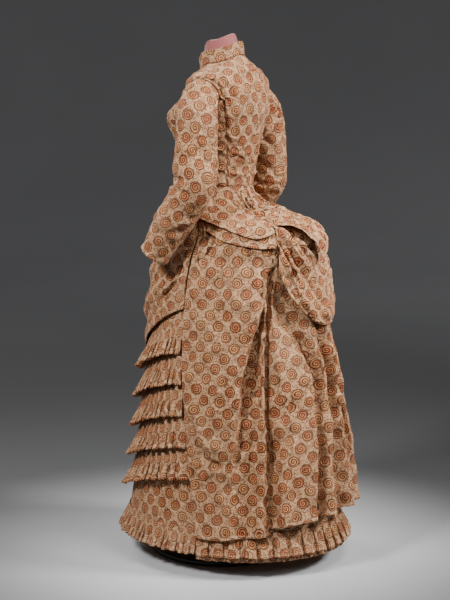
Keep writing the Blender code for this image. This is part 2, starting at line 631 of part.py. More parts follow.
def make_puff(finish):
    """The puffed back drape: swags from hip to hip, with the lower edge rolled under."""
    grid = []
    for v in steps(0, 1, PUFF_ROWS) + [1.0]:
        rolled = len(grid) == PUFF_ROWS + 1
        edge = PUFF_EDGE_TOP + (PUFF_EDGE_LOW - PUFF_EDGE_TOP) * v
        row = []
        for a in steps(edge, 180 - edge, PUFF_COLUMNS):
            middle = max(0.0, math.sin(math.pi * (a - edge) / (180 - 2 * edge))) ** PUFF_ROUND
            low = PUFF_TACK_Z + (PUFF_MIDDLE_Z - PUFF_TACK_Z) * middle
            z = PUFF_TOP + (low - PUFF_TOP) * v
            swag = PUFF_FOLD_MM * math.cos(2 * math.pi * PUFF_FOLDS * v) * math.sin(math.pi * v)
            flat = along(PUFF_EDGE_OUT, v)
            out = flat + (along(PUFF_MIDDLE_OUT, v) + swag - flat) * middle
            if rolled:
                out -= PUFF_ROLL_MM * middle
                z += PUFF_ROLL_Z
            row.append(skirt_point(a, z, out))
        grid.append(row)
    cloth("puff", grid, finish)


# ---------------------------------------------------------------- basque
def waist_seam(angle):
    """A point just below the bodice's waist seam."""
    return torso_base(angle, 0) - Vector((0, 0, SEAM))


def tail_seam(z):
    return along(TAIL_SEAM, z)


def basque_grid(first, columns, last):
    """A skirt of the bodice, from the waist seam to its hem; last gives the far edge's angle at a height."""
    grid = [[waist_seam(a) for a in steps(first, last(WAIST_Z), columns)]]
    for v in steps(0, 1, BASQUE_ROWS)[1:]:
        row = []
        for a in steps(first, last(WAIST_Z + (BASQUE_HEM[-1].z - WAIST_Z) * v), columns):
            z = WAIST_Z + (along(BASQUE_HEM, a) - WAIST_Z) * v
            row.append(skirt_point(a, z, along(BASQUE_OUT, v)))
        grid.append(row)
    return [eased(row) for row in grid]


def make_basque(finish):
    front = basque_grid(-90, BASQUE_FRONT_COLUMNS, lambda z: BASQUE_SIDE)
    side = basque_grid(BASQUE_SIDE, BASQUE_SIDE_COLUMNS, tail_seam)
    for name, grid in (("front", front), ("side", side)):
        cloth(f"basque_{name}_left", grid, finish)
        cloth(f"basque_{name}_right", mirrored(grid), finish)


def make_hip_folds(finish):
    """The turned-over fold that shows below the basque at each hip."""
    grid = []
    for v in steps(0, 1, HIP_ROWS):
        row = []
        for a in steps(HIP_FRONT, BASQUE_BACK, HIP_COLUMNS):
            z = HIP_TOP + (along(HIP_HEM, a) - HIP_TOP) * v
            row.append(skirt_point(a, z, along(HIP_OUT, v)))
        grid.append(row)
    cloth("hip_fold_left", grid, finish)
    cloth("hip_fold_right", mirrored(grid), finish)


def make_tail(finish):
    """The pleated tail of the basque, fanned over the bustle."""
    grid = [[waist_seam(90 + (90 - tail_seam(WAIST_Z)) * u) for u in steps(-1, 1, TAIL_COLUMNS)]]
    for v in steps(0, 1, TAIL_ROWS)[1:]:
        row = []
        for u in steps(-1, 1, TAIL_COLUMNS):
            low = TAIL_SIDE_Z - TAIL_TONGUE * math.exp(-((u / TAIL_TONGUE_WIDTH) ** 2))
            z = WAIST_Z + (low - WAIST_Z) * v
            angle = 90 + (90 - tail_seam(z)) * u
            pleat = TAIL_PLEAT_MM * math.cos(TAIL_PLEATS * math.pi * u) * math.sin(math.pi * v)
            row.append(skirt_point(angle, z, along(TAIL_OUT, v) + pleat))
        grid.append(row)
    cloth("basque_tail", [eased(row) for row in grid], finish)


# ---------------------------------------------------------------- dress form and stand
def make_form(finish):
    """A limbless torso with a flat-cut neck, closed at the hips."""
    angles = steps(-180, 180, FORM_COLUMNS)[:-1]
    rings = [[girth_point(NECK_TOP, a) for a in angles]]
    for r in FORM_ROWS:
        rings.append([torso_point(a, r, -FORM_INSET) for a in angles])
    for at in FORM_HIPS:
        rings.append([Vector((*oval(at.front, at.half_width, at.back, at.square, a), at.z)) for a in angles])
    mesh = sheet_mesh("dress_form", rings, closed=True)
    shape = bmesh.new()
    shape.from_mesh(mesh)
    bmesh.ops.holes_fill(shape, edges=[e for e in shape.edges if e.is_boundary], sides=0)
    bmesh.ops.recalc_face_normals(shape, faces=shape.faces)
    shape.to_mesh(mesh)
    shape.free()
    add_object("dress_form", mesh, finish)


def make_stand(finish):
    """The pole under the form and the round foot it rises from."""
    low, high = FOOT_THICKNESS + TOUCH, FORM_HIPS[-1].z - TOUCH
    shape = bmesh.new()
    bmesh.ops.create_cone(
        shape, cap_ends=True, segments=20, radius1=POLE_RADIUS, radius2=POLE_RADIUS, depth=high - low
    )
    add_shape("stand_pole", shape, finish).location.z = (high + low) / 2
    shape = bmesh.new()
    bmesh.ops.create_cone(
        shape, cap_ends=True, segments=36, radius1=FOOT_RADIUS, radius2=FOOT_RADIUS, depth=FOOT_THICKNESS
    )
    foot = add_shape("stand_foot", shape, finish)
    foot.location.z = FOOT_THICKNESS / 2
    bevel = foot.modifiers.new("soft_edge", "BEVEL")
    bevel.width = FOOT_BEVEL
    bevel.segments = 1
    bevel.limit_method = "ANGLE"


# ---------------------------------------------------------------- build
for leftover in list(bpy.data.objects):
    bpy.data.objects.remove(leftover)
PARTS = bpy.data.collections.new("bustle_dress")
bpy.context.scene.collection.children.link(PARTS)

print_cotton = material("print_cotton", (0.60, 0.36, 0.22), 0.85)
pink_cloth = material("form_cover", (0.42, 0.15, 0.16), 0.8)
black_paint = material("stand_black", (0.01, 0.01, 0.01), 0.45)
button_cover = material("button_cover", (0.45, 0.24, 0.14), 0.6)

make_form(pink_cloth)
make_stand(black_paint)
make_bodice(print_cotton)
make_collar(print_cotton)
make_buttons(button_cover)
make_sleeves(print_cotton)
make_underskirt(print_cotton)
make_ruffles(print_cotton)
make_flounce(print_cotton)
make_frill(print_cotton)
make_side_panels(print_cotton)
make_back_panel(print_cotton)
make_apron(print_cotton)
make_puff(print_cotton)
make_basque(print_cotton)
make_hip_folds(print_cotton)
make_tail(print_cotton)
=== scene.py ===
"""A bustle dress of printed cotton on a limbless dress form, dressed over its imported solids.

Metres, +Z up. The wearer faces -Y, so +Y is the bustle side and +X the wearer's left. Angles round the body are in
degrees: -90 front, 0 left side, 90 back. Every piece of cloth is a fine grid of points on the same guiding surfaces
as its solid, with its own gathers, pleats and creases, and its map holds the cloth's grain in metres.
"""

import logging
import math
from collections.abc import Callable, Iterator, Sequence
from copy import copy
from dataclasses import dataclass, field
from enum import Enum
from typing import NamedTuple

import bpy
import numpy as np
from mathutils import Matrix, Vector


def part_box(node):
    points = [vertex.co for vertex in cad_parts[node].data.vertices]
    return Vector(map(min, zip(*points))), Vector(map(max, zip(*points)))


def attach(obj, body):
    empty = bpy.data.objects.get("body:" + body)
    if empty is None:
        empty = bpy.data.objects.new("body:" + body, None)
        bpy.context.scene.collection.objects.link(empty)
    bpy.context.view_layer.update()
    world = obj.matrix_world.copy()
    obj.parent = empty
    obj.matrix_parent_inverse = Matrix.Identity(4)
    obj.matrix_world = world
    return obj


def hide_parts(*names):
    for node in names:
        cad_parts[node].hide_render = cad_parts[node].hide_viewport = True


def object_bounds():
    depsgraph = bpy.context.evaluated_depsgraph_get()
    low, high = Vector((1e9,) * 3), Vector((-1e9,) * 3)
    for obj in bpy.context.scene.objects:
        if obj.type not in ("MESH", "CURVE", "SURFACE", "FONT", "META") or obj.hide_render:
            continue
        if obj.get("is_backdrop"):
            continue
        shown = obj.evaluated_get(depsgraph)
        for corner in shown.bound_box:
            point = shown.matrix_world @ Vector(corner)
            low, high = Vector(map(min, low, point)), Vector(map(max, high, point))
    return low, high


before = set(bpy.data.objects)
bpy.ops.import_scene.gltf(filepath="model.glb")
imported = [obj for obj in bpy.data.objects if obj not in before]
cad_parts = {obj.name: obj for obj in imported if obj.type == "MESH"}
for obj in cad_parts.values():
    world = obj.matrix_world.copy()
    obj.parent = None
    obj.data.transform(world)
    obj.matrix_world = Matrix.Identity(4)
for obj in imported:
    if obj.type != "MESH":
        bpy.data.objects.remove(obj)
CAD_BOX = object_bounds()
LOG = logging.getLogger("bustle_dress")

MM = 0.001
BODY = "root"
DENSITY = 1.0  # share of the full number of rows and columns
TINY = 1e-12  # keeps a division from being by nothing
DOWN = np.array([0.0, 0.0, -1.0])

Points = np.ndarray
Colour = tuple[float, float, float]


# ---------------------------------------------------------------- tables and guiding surfaces
def hermite(t: Points, start: Points, leaving: Points, end: Points, arriving: Points) -> Points:
    """A smooth way from one value to another.

    Args:
        t: How far along it: 0 at its start and 1 at its end.
        start: The value there.
        leaving: The slope there.
        end: The value at the end.
        arriving: The slope at the end.

    Returns:
        The values at t.
    """
    return (
        (2 * t**3 - 3 * t**2 + 1) * start
        + (t**3 - 2 * t**2 + t) * leaving
        + (3 * t**2 - 2 * t**3) * end
        + (t**3 - t**2) * arriving
    )


class Curve:
    """A smooth curve through a short table of (key, value) pairs."""

    def __init__(self, *pairs: tuple[float, float]) -> None:
        """Keeps the pairs in rising order of their keys.

        Args:
            pairs: Keys with their values.
        """
        rising = sorted(pairs)
        self.keys = np.array([key for key, _ in rising], float)
        self.values = np.array([value for _, value in rising], float)

    def __call__(self, at: Points | float) -> Points:
        """The values at some keys.

        Args:
            at: One key or an array of them.

        Returns:
            An array of the same shape.
        """
        keys, values = self.keys, self.values
        at = np.clip(np.asarray(at, float), keys[0], keys[-1])
        i = np.clip(np.searchsorted(keys, at, side="right") - 1, 0, len(keys) - 2)
        low = np.maximum(np.arange(len(keys)) - 1, 0)
        high = np.minimum(np.arange(len(keys)) + 1, len(keys) - 1)
        slopes = (values[high] - values[low]) / (keys[high] - keys[low])
        span = keys[i + 1] - keys[i]
        t = (at - keys[i]) / span
        return hermite(t, values[i], span * slopes[i], values[i + 1], span * slopes[i + 1])


def columns_of(rows: Sequence[NamedTuple], keys: Sequence[float]) -> list[Curve]:
    """A curve for every column of a table, whose rows lie at those keys."""
    return [Curve(*zip(keys, column)) for column in zip(*rows)]


def oval(front: Points, half_width: Points, back: Points, square: Points, angle: Points) -> tuple[Points, Points]:
    """x and y on a closed oval.

    Args:
        front: y of its front.
        half_width: Half its width.
        back: y of its back.
        square: 2 for an ellipse, more for a boxier oval.
        angle: Where on it, in degrees.

    Returns:
        x and y.
    """
    c, s = np.cos(np.radians(angle)), np.sin(np.radians(angle))
    k = (np.abs(c) ** square + np.abs(s) ** square) ** (-1 / square)
    return half_width * k * c, (front + back) / 2 + (back - front) / 2 * k * s


def unit(vectors: Points) -> Points:
    """The vectors at length 1."""
    return vectors / np.maximum(np.linalg.norm(vectors, axis=-1, keepdims=True), TINY)


class Section(NamedTuple):
    """A level section of the skirt."""

    z: float
    front: float
    half_width: float
    back: float
    square: float


class Girth(NamedTuple):
    """A girth of the bodice, whose level bends down at front or back."""

    z_front: float
    z_side: float
    z_back: float
    front: float
    half_width: float
    back: float
    square: float


class Cuff(NamedTuple):
    """A section of the left sleeve: its middle, its radii and its forward lean."""

    x: float
    y: float
    z: float
    across: float
    deep: float
    lean_forward: float


class Fold(NamedTuple):
    """A fold line of a hanging panel: its angle and stand-off in mm at the panel's levels, and its hem."""

    name: str
    angles: tuple[float, ...]
    outs: tuple[float, ...]
    hem: float


# How far to both sides of a point its face is felt for: in degrees, in metres, and in rows of girths.
PROBE_TURN, PROBE_RISE, PROBE_ROW = 0.5, 0.002, 0.05


class SkirtForm:
    """The underskirt's outer face, which every other skirt piece stands off from."""

    SECTIONS = (
        Section(1.070, -0.0790, 0.0985, 0.0715, 2.0),
        Section(1.055, -0.0800, 0.1000, 0.0740, 2.0),
        Section(1.030, -0.0900, 0.1100, 0.0820, 2.0),
        Section(1.015, -0.0970, 0.1180, 0.0970, 2.0),
        Section(0.995, -0.1060, 0.1300, 0.1270, 2.1),
        Section(0.975, -0.1140, 0.1410, 0.1690, 2.2),
        Section(0.955, -0.1220, 0.1510, 0.2180, 2.3),
        Section(0.935, -0.1310, 0.1610, 0.2580, 2.3),
        Section(0.910, -0.1420, 0.1700, 0.2740, 2.2),
        Section(0.870, -0.1580, 0.1800, 0.2800, 2.1),
        Section(0.740, -0.1930, 0.2030, 0.2880, 2.0),
        Section(0.540, -0.2190, 0.2290, 0.3060, 2.0),
        Section(0.290, -0.2500, 0.2550, 0.3360, 2.0),
        Section(0.090, -0.2800, 0.2740, 0.3600, 2.0),
        Section(0.040, -0.2880, 0.2790, 0.3680, 2.0),
    )

    def __init__(self) -> None:
        """Makes the curves of the table."""
        self.curves = columns_of(self.SECTIONS, [row.z for row in self.SECTIONS])

    def base(self, angle: Points, z: Points) -> Points:
        """Points on the face.

        Args:
            angle: Angles round the body, in degrees.
            z: Heights.

        Returns:
            Points, in one more dimension than the inputs.
        """
        _, front, half_width, back, square = (curve(z) for curve in self.curves)
        x, y = oval(front, half_width, back, square, angle)
        return np.stack([x, y, np.broadcast_to(z, x.shape)], -1)

    def at(self, angle: Points, z: Points, out_mm: Points) -> Points:
        """Points that stand off square to the face.

        Args:
            angle: Angles round the body, in degrees.
            z: Heights on the face.
            out_mm: How far they stand off.

        Returns:
            The points.
        """
        angle, z, out_mm = np.broadcast_arrays(angle, z, out_mm)
        round_it = self.base(angle + PROBE_TURN, z) - self.base(angle - PROBE_TURN, z)
        down = self.base(angle, z - PROBE_RISE) - self.base(angle, z + PROBE_RISE)
        return self.base(angle, z) + unit(np.cross(down, round_it)) * (out_mm * MM)[..., None]


class TorsoForm:
    """The bodice's outer face, from the waist seam (row 0) to the neck seam (row 8)."""

    GIRTHS = (
        Girth(1.060, 1.060, 1.060, -0.089, 0.109, 0.083, 2.0),
        Girth(1.115, 1.115, 1.115, -0.102, 0.114, 0.090, 2.05),
        Girth(1.172, 1.172, 1.174, -0.122, 0.126, 0.101, 2.1),
        Girth(1.222, 1.224, 1.228, -0.1455, 0.141, 0.113, 2.2),
        Girth(1.262, 1.264, 1.276, -0.141, 0.153, 0.119, 2.35),
        Girth(1.310, 1.312, 1.330, -0.087, 0.159, 0.116, 2.15),
        Girth(1.340, 1.354, 1.375, -0.066, 0.165, 0.100, 2.0),
        Girth(1.358, 1.379, 1.402, -0.062, 0.116, 0.081, 2.0),
        Girth(1.370, 1.399, 1.423, -0.060, 0.060, 0.064, 2.0),
    )
    UNDERARM, SHOULDER_TIP, NECK = 3.2, 6.0, 8.0
    ARM_FRONT, ARM_BACK = 31.0, 30.0
    PRINCESS_LOW, PRINCESS_HIGH, PRINCESS_TOP = 43.0, 37.5, 4.6

    def __init__(self) -> None:
        """Makes the curves of the table."""
        self.curves = columns_of(self.GIRTHS, range(len(self.GIRTHS)))

    @staticmethod
    def ring(values: Sequence[Points], angle: Points) -> Points:
        """Points on a girth.

        Args:
            values: The girth's columns.
            angle: Angles round the body, in degrees.

        Returns:
            The points.
        """
        z_front, z_side, z_back, front, half_width, back, square = values
        side = np.cos(np.radians(angle)) ** 2
        end = np.where(np.asarray(angle) > 0, z_back, z_front)
        x, y = oval(front, half_width, back, square, angle)
        return np.stack([x, y, z_side * side + end * (1 - side)], -1)

    def base(self, angle: Points, row: Points) -> Points:
        """Points on the face, at angles in degrees and places in the table of girths."""
        return self.ring([curve(row) for curve in self.curves], angle)

    def at(self, angle: Points, row: Points, out: Points | float = 0.0) -> Points:
        """Points that stand off square to the face.

        Args:
            angle: Angles round the body, in degrees.
            row: Places in the table of girths.
            out: How far they stand off, in metres.

        Returns:
            The points.
        """
        angle, row = np.broadcast_arrays(np.asarray(angle, float), np.asarray(row, float))
        round_it = self.base(angle + PROBE_TURN, row) - self.base(angle - PROBE_TURN, row)
        low, high = np.maximum(row - PROBE_ROW, 0), np.minimum(row + PROBE_ROW, self.NECK)
        down = self.base(angle, low) - self.base(angle, high)
        return self.base(angle, row) + unit(np.cross(down, round_it)) * np.asarray(out)[..., None]

    def armhole(self, turn: Points) -> tuple[Points, Points]:
        """The armhole's edge.

        Args:
            turn: Degrees round it: 0 underarm, 90 front, 180 shoulder tip.

        Returns:
            Angles and rows.
        """
        c, s = np.cos(np.radians(turn)), np.sin(np.radians(turn))
        half = np.where(s > 0, self.ARM_FRONT, self.ARM_BACK)
        return -half * s, self.UNDERARM + (self.SHOULDER_TIP - self.UNDERARM) * (1 - c) / 2

    def arm_edge(self, row: Points, front: bool) -> Points:
        """A panel's edge angle at some rows: the side seam, the armhole or the shoulder seam.

        Args:
            row: Places in the table of girths.
            front: Whether it is the front panel's edge.

        Returns:
            The angles.
        """
        share = np.clip((row - self.UNDERARM) / (self.SHOULDER_TIP - self.UNDERARM), 0, 1)
        turn = np.degrees(np.arccos(1 - 2 * share))
        return self.armhole(turn if front else -turn)[0]

    def princess(self, row: Points) -> Points:
        """The angle of the back seam, which curves up to the armhole, at some rows."""
        share = np.minimum(1.0, row / self.PRINCESS_TOP)
        return self.PRINCESS_LOW + (self.PRINCESS_HIGH - self.PRINCESS_LOW) * share**2


SKIRT = SkirtForm()
TORSO = TorsoForm()
WAIST_Z = 1.060
SWELL_WAVES = 9  # waves laid over each other in an uneven swell


def count(full: int) -> int:
    """A number of steps at this run's density."""
    return max(4, round(full * DENSITY))


def even(first: float, last: float, steps: int) -> Points:
    """Even steps from first to last, both included, at this run's density."""
    return np.linspace(first, last, count(steps) + 1)


def edged(steps: int) -> Points:
    """Shares from 0 to 1 that crowd towards both ends, where seams roll in."""
    t = even(0, 1, steps)
    return t - 0.11 * np.sin(2 * np.pi * t)


def rounded(table: Points, steps: int) -> Points:
    """A table's rows on finer columns, with a rounded top to every ridge and no overshoot.

    Args:
        table: Rows of values at the fold lines.
        steps: The number of finer steps.

    Returns:
        The finer rows.
    """
    rise = np.diff(table, axis=1)
    same = rise[:, 1:] * rise[:, :-1] > 0
    inner = np.where(same, 2 * rise[:, 1:] * rise[:, :-1] / (rise[:, 1:] + rise[:, :-1] + TINY), 0)
    slope = np.concatenate([rise[:, :1], inner, rise[:, -1:]], 1)
    at = np.linspace(0, table.shape[1] - 1, count(steps) + 1)
    i = np.minimum(at.astype(int), table.shape[1] - 2)
    return hermite(at - i, table[:, i], slope[:, i], table[:, i + 1], slope[:, i + 1])


def ramp(value: Points | float, low: float, high: float) -> Points:
    """Rises smoothly from 0 at low to 1 at high."""
    t = np.clip((np.asarray(value, float) - low) / (high - low), 0, 1)
    return t * t * (3 - 2 * t)


def ripple(across: Points, down: Points, size: float, seed: int) -> Points:
    """A soft uneven swell, about -1 to 1.

    Args:
        across: Metres across the cloth.
        down: Metres down the cloth.
        size: The usual length of a swell.
        seed: Picks the swell; the same seed gives the same one.

    Returns:
        Its height at each point.
    """
    draw = np.random.default_rng(seed)
    turns, phases, stretches = (draw.uniform(*ends, SWELL_WAVES) for ends in ((0, np.pi), (0, 2 * np.pi), (0.6, 1.7)))
    total = np.zeros(np.broadcast(across, down).shape)
    for turn, phase, stretch in zip(turns, phases, stretches):
        wave = 2 * np.pi / (size * stretch)
        total += np.sin(wave * (across * np.cos(turn) + down * np.sin(turn)) + phase)
    return total / 3.2  # about their highest sum


# ---------------------------------------------------------------- cloth
class Crease(NamedTuple):
    """A soft trough in a sheet, or a ridge where its depth is negative.

    Its two ends are shares across and down the sheet. The width is from its middle to where the cloth is level
    again, and the bow is how far its middle lies off the straight line, as a share of its length.
    """

    across0: float
    down0: float
    across1: float
    down1: float
    width: float
    depth: float
    bow: float = 0.0

    def turned(self) -> "Crease":
        """The same crease on the mirror image of its sheet."""
        return self._replace(across0=1 - self.across0, across1=1 - self.across1, bow=-self.bow)


def creases_of(*rows: Sequence[float]) -> tuple[Crease, ...]:
    """Creases from rows of figures in the same order: shares and bow in hundredths, width and depth in mm."""
    units = (0.01, 0.01, 0.01, 0.01, MM, MM, 0.01)
    return tuple(Crease(*(figure * part for figure, part in zip(row, units))) for row in rows)


class Swell(NamedTuple):
    """A soft unevenness of a sheet.

    Its size is about how far it is from one swell to the next. The last three say how far in from the sheet's sides,
    top and foot it is at its full depth, or 0 where it reaches the very edge.
    """

    size: float
    depth: float
    sides: float = 0.0
    top: float = 0.0
    foot: float = 0.0


class Held(Enum):
    """How a sheet is held."""

    DRAPED = "draped"
    HUNG = "hung"
    GATHERED = "gathered"
    STRETCHED = "stretched"


class Edge(Enum):
    """What a sheet's lowest edge is."""

    SEAM = "sewn to its neighbour"
    HEM = "turned up and stitched"


class Slot(Enum):
    """The kinds of surface that the part's record names."""

    PRINT = "print_cotton"
    FORM = "form_cover"
    STAND = "stand_black"
    BUTTON = "button_cover"


HEM_TURN = 0.009  # depth of a turned-up hem
HEM_RISE = 0.0006  # how much thicker it is
HEM_STEP = (0.0004, 0.0012)  # where its inner edge steps down: this far outside and inside its stitched line
NO_EDGE = 1.0  # in the edge map, further from a hem than any stitch
WALL = 0.0013  # thickness of a panel
THIN_WALL = 0.0009  # and of a gathered strip
NO_LIMIT = 1.0  # deeper than any crease
PATH_POINTS = 14  # points along a crease
FLAT_NODES = 25  # points each way when a sheet is laid flat
FLAT_ROUNDS = 500
FLAT_PULL = 0.2  # share of each error that a round takes out


def hemmed(length: float, steps: int) -> Points:
    """Shares down a sheet of that length: even, then closer where its hem is turned up."""
    close = [HEM_TURN + 0.0035, HEM_TURN + HEM_STEP[1], HEM_TURN - HEM_STEP[0], HEM_TURN * 0.5, 0.0012, 0.0]
    return np.concatenate([even(0, 1 - 0.02 / length, steps), 1 - np.array(close) / length])


def third_side(a: Points, b: Points, lean: Points) -> Points:
    """The length across two runs of cloth, one after the other, that lean towards each other by that cosine."""
    return np.sqrt(np.maximum(a * a + b * b + 2 * a * b * lean, 1e-9))


def spread_out(rows: Points, known: Points, size: int) -> Points:
    """Rows of values at a few columns, filled in at that many."""
    return np.array([np.interp(np.arange(size), known, row) for row in rows])


@dataclass
class Sheet:
    """A sheet of cloth by its outer face: rows of points run down it, and columns by rising angle."""

    points: Points
    gathered: bool = False
    edge: Edge = Edge.HEM
    flat: Points = field(init=False, repr=False)

    def __post_init__(self) -> None:
        """Lays the sheet flat as it was first given, before small creases."""
        self.flat = self.strip() if self.gathered else self.flattened()

    def runs(self) -> tuple[Points, Points]:
        """Metres along each row from its middle, and down each column from its top.

        Returns:
            Both, with a number for each point.
        """
        rows = np.linalg.norm(np.diff(self.points, axis=1), axis=-1)
        columns = np.linalg.norm(np.diff(self.points, axis=0), axis=-1)
        across = np.concatenate([np.zeros((len(self.points), 1)), np.cumsum(rows, 1)], 1)
        down = np.concatenate([np.zeros((1, self.points.shape[1])), np.cumsum(columns, 0)], 0)
        return across - across[:, across.shape[1] // 2][:, None], down

    def strip(self) -> Points:
        """The cloth of a gathered strip: a plain rectangle, as wide as its waves are two thirds of the way down.

        Returns:
            Its points, in metres.
        """
        across, down = self.runs()
        depth = np.median(down, axis=1)
        wide = across[np.searchsorted(depth, depth[-1] * 2 / 3)]
        return np.stack([np.broadcast_to(wide, across.shape), np.broadcast_to(depth[:, None], down.shape)], -1)

    def flattened(self) -> Points:
        """The cloth laid flat, keeping the lengths along it as well as they can be kept.

        Returns:
            Its points, in metres.
        """
        rows, columns = self.points.shape[:2]
        i, j = (np.unique(np.linspace(0, size - 1, FLAT_NODES).astype(int)) for size in (rows, columns))
        across, down = (run[np.ix_(i, j)] for run in self.runs())
        coarse = self.points[np.ix_(i, j)]
        wide, deep = np.diff(across, axis=1), np.diff(down, axis=0)
        along, below = unit(np.diff(coarse, axis=1)), unit(np.diff(coarse, axis=0))
        falling = third_side(wide[:-1], deep[:, :-1], (along[:-1] * below[:, :-1]).sum(-1))
        rising = third_side(wide[:-1], deep[:, 1:], -(along[:-1] * below[:, 1:]).sum(-1))
        flat = np.stack([across, np.broadcast_to(down.mean(1)[:, None], across.shape)], -1)
        pulls = (
            (np.s_[:, :-1], np.s_[:, 1:], wide),
            (np.s_[:-1, :], np.s_[1:, :], deep),
            (np.s_[:-1, :-1], np.s_[1:, 1:], falling),
            (np.s_[:-1, 1:], np.s_[1:, :-1], rising),
        )
        for _ in range(FLAT_ROUNDS):
            for start, end, length in pulls:
                gap = flat[end] - flat[start]
                now = np.linalg.norm(gap, axis=-1)
                shift = gap * ((now - length) / np.maximum(now, 1e-9) * FLAT_PULL)[..., None]
                flat[start] += shift
                flat[end] -= shift
        wider = np.stack([spread_out(flat[..., k], j, columns) for k in (0, 1)], -1)
        return np.stack([spread_out(wider[..., k].T, i, rows).T for k in (0, 1)], -1)

    def normals(self) -> Points:
        """The outward direction at each point."""
        return unit(np.cross(np.gradient(self.points, axis=0), np.gradient(self.points, axis=1)))

    def push(self, out: Points) -> None:
        """Moves each point out by so many metres, or in where that is negative."""
        self.points = self.points + self.normals() * np.asarray(out)[..., None]

    def inset(self, sides: float, top: float, foot: float) -> Points:
        """A mask that is 0 at the edges and 1 this many metres in from them.

        Args:
            sides: The width of the mask's border at both sides, or 0 for none.
            top: Its width at the top, or 0 for none.
            foot: Its width at the lowest edge, or 0 for none.

        Returns:
            The mask.
        """
        across, down = self.runs()
        mask = np.ones(across.shape)
        if sides:
            mask *= ramp(across - across[:, :1], 0, sides) * ramp(across[:, -1:] - across, 0, sides)
        if top:
            mask *= ramp(down, 0, top)
        if foot:
            mask *= ramp(down[-1:] - down, 0, foot)
        return mask

    def path(self, crease: Crease) -> Points:
        """Points on the sheet, along a crease.

        Args:
            crease: The crease.

        Returns:
            The points, from one end to the other.
        """
        size = np.array(self.points.shape[1::-1]) - 1
        share = np.linspace(0, 1, PATH_POINTS)
        run = np.array([crease.across1 - crease.across0, crease.down1 - crease.down0])
        aside = np.array([-run[1], run[0]])
        at = np.array([crease.across0, crease.down0]) + share[:, None] * run
        at = np.clip(at + (np.sin(np.pi * share) * crease.bow)[:, None] * aside, 0, 1) * size
        low = np.minimum(at.astype(int), size - 1)
        (j, i), (t, u) = low.T, (at - low).T[..., None]
        corner = self.points
        upper = corner[i, j] * (1 - t) + corner[i, j + 1] * t
        lower = corner[i + 1, j] * (1 - t) + corner[i + 1, j + 1] * t
        return upper * (1 - u) + lower * u

    def near(self, path: Points) -> tuple[Points, Points]:
        """How far each point of the sheet is from a path, and what share of the path lies before the nearest place.

        Args:
            path: Points along it.

        Returns:
            The distances and the shares.
        """
        nearest, place = np.full(self.points.shape[:2], np.inf), np.zeros(self.points.shape[:2])
        for k, leg in enumerate(np.diff(path, axis=0)):
            s = np.clip(((self.points - path[k]) @ leg) / max(leg @ leg, TINY), 0, 1)
            away = np.linalg.norm(self.points - path[k] - s[..., None] * leg, axis=-1)
            closer = away < nearest
            nearest = np.where(closer, away, nearest)
            place = np.where(closer, (k + s) / (len(path) - 1), place)
        return nearest, place

    def crease(self, creases: Sequence[Crease], deepest: float = NO_LIMIT) -> None:
        """Presses each crease into the sheet, or raises it.

        Args:
            creases: The creases.
            deepest: The furthest that they press in, where something lies close beneath.
        """
        total = np.zeros(self.points.shape[:2])
        for c in creases:
            away, place = self.near(self.path(c))
            x = away / (c.width * 0.6)
            taper = np.maximum(4 * place * (1 - place), 0) ** 0.6
            total -= c.depth * taper * (1 - 0.8 * x * x) * np.exp(-x * x / 1.6)
        self.push(np.maximum(total, -deepest))

    def swell(self, swells: Sequence[Swell], seed: int, deepest: float = NO_LIMIT) -> None:
        """Gives the sheet each swell in turn.

        Args:
            swells: The swells.
            seed: Picks the pattern of the first; each one after it takes the next seed.
            deepest: The furthest that they press in, where something lies close beneath.
        """
        for k, swell in enumerate(swells):
            rise = ripple(self.flat[..., 0], self.flat[..., 1], swell.size, seed + k) * swell.depth
            self.push(np.maximum(rise, -deepest) * self.inset(swell.sides, swell.top, swell.foot))

    def turn_hem(self) -> None:
        """Thickens the turned-up hem."""
        _, down = self.runs()
        self.push(HEM_RISE * (1 - ramp(down[-1:] - down, HEM_TURN - HEM_STEP[0], HEM_TURN + HEM_STEP[1])))

    def seam_roll(self, depth: float = 0.0009, reach: float = 0.0035) -> None:
        """Lets both sides dip towards their seams.

        Args:
            depth: How deep they dip.
            reach: How far in from the seams.
        """
        across, _ = self.runs()
        for side in (across - across[:, :1], across[:, -1:] - across):
            self.push(-depth * np.exp(-((side / reach) ** 2)))

    def copied(self) -> "Sheet":
        """The same sheet again, to be shaped by itself.

        Returns:
            The copy.
        """
        other = copy(self)
        other.points, other.flat = self.points.copy(), self.flat.copy()
        return other

    def mirrored(self) -> "Sheet":
        """The same sheet on the wearer's other side.

        Returns:
            The mirror image.
        """
        other = copy(self)
        other.points, other.flat = self.points[:, ::-1] * [-1, 1, 1], self.flat[:, ::-1] * [-1, 1]
        return other


@dataclass(frozen=True)
class Cover:
    """The two sides of a cloth."""

    face: bpy.types.Material
    wrong: bpy.types.Material


def mesh_of(name: str, points: Points, faces: Points, maps: dict[str, Points]) -> bpy.types.Object:
    """A smooth mesh object, linked into the scene.

    Args:
        name: Its name.
        points: Its points.
        faces: Four point numbers a face.
        maps: Flat maps by name, with two numbers a point.

    Returns:
        The object.
    """
    mesh = bpy.data.meshes.new(name)
    mesh.from_pydata(points.reshape(-1, 3).tolist(), [], faces.tolist())
    for key, values in maps.items():
        layer = mesh.uv_layers.new(name=key)
        corners = values.reshape(-1, 2)[faces.reshape(-1)]
        layer.data.foreach_set("uv", corners.astype(np.float32).reshape(-1))
    mesh.shade_smooth()
    made = bpy.data.objects.new(name, mesh)
    bpy.context.scene.collection.objects.link(made)
    return made


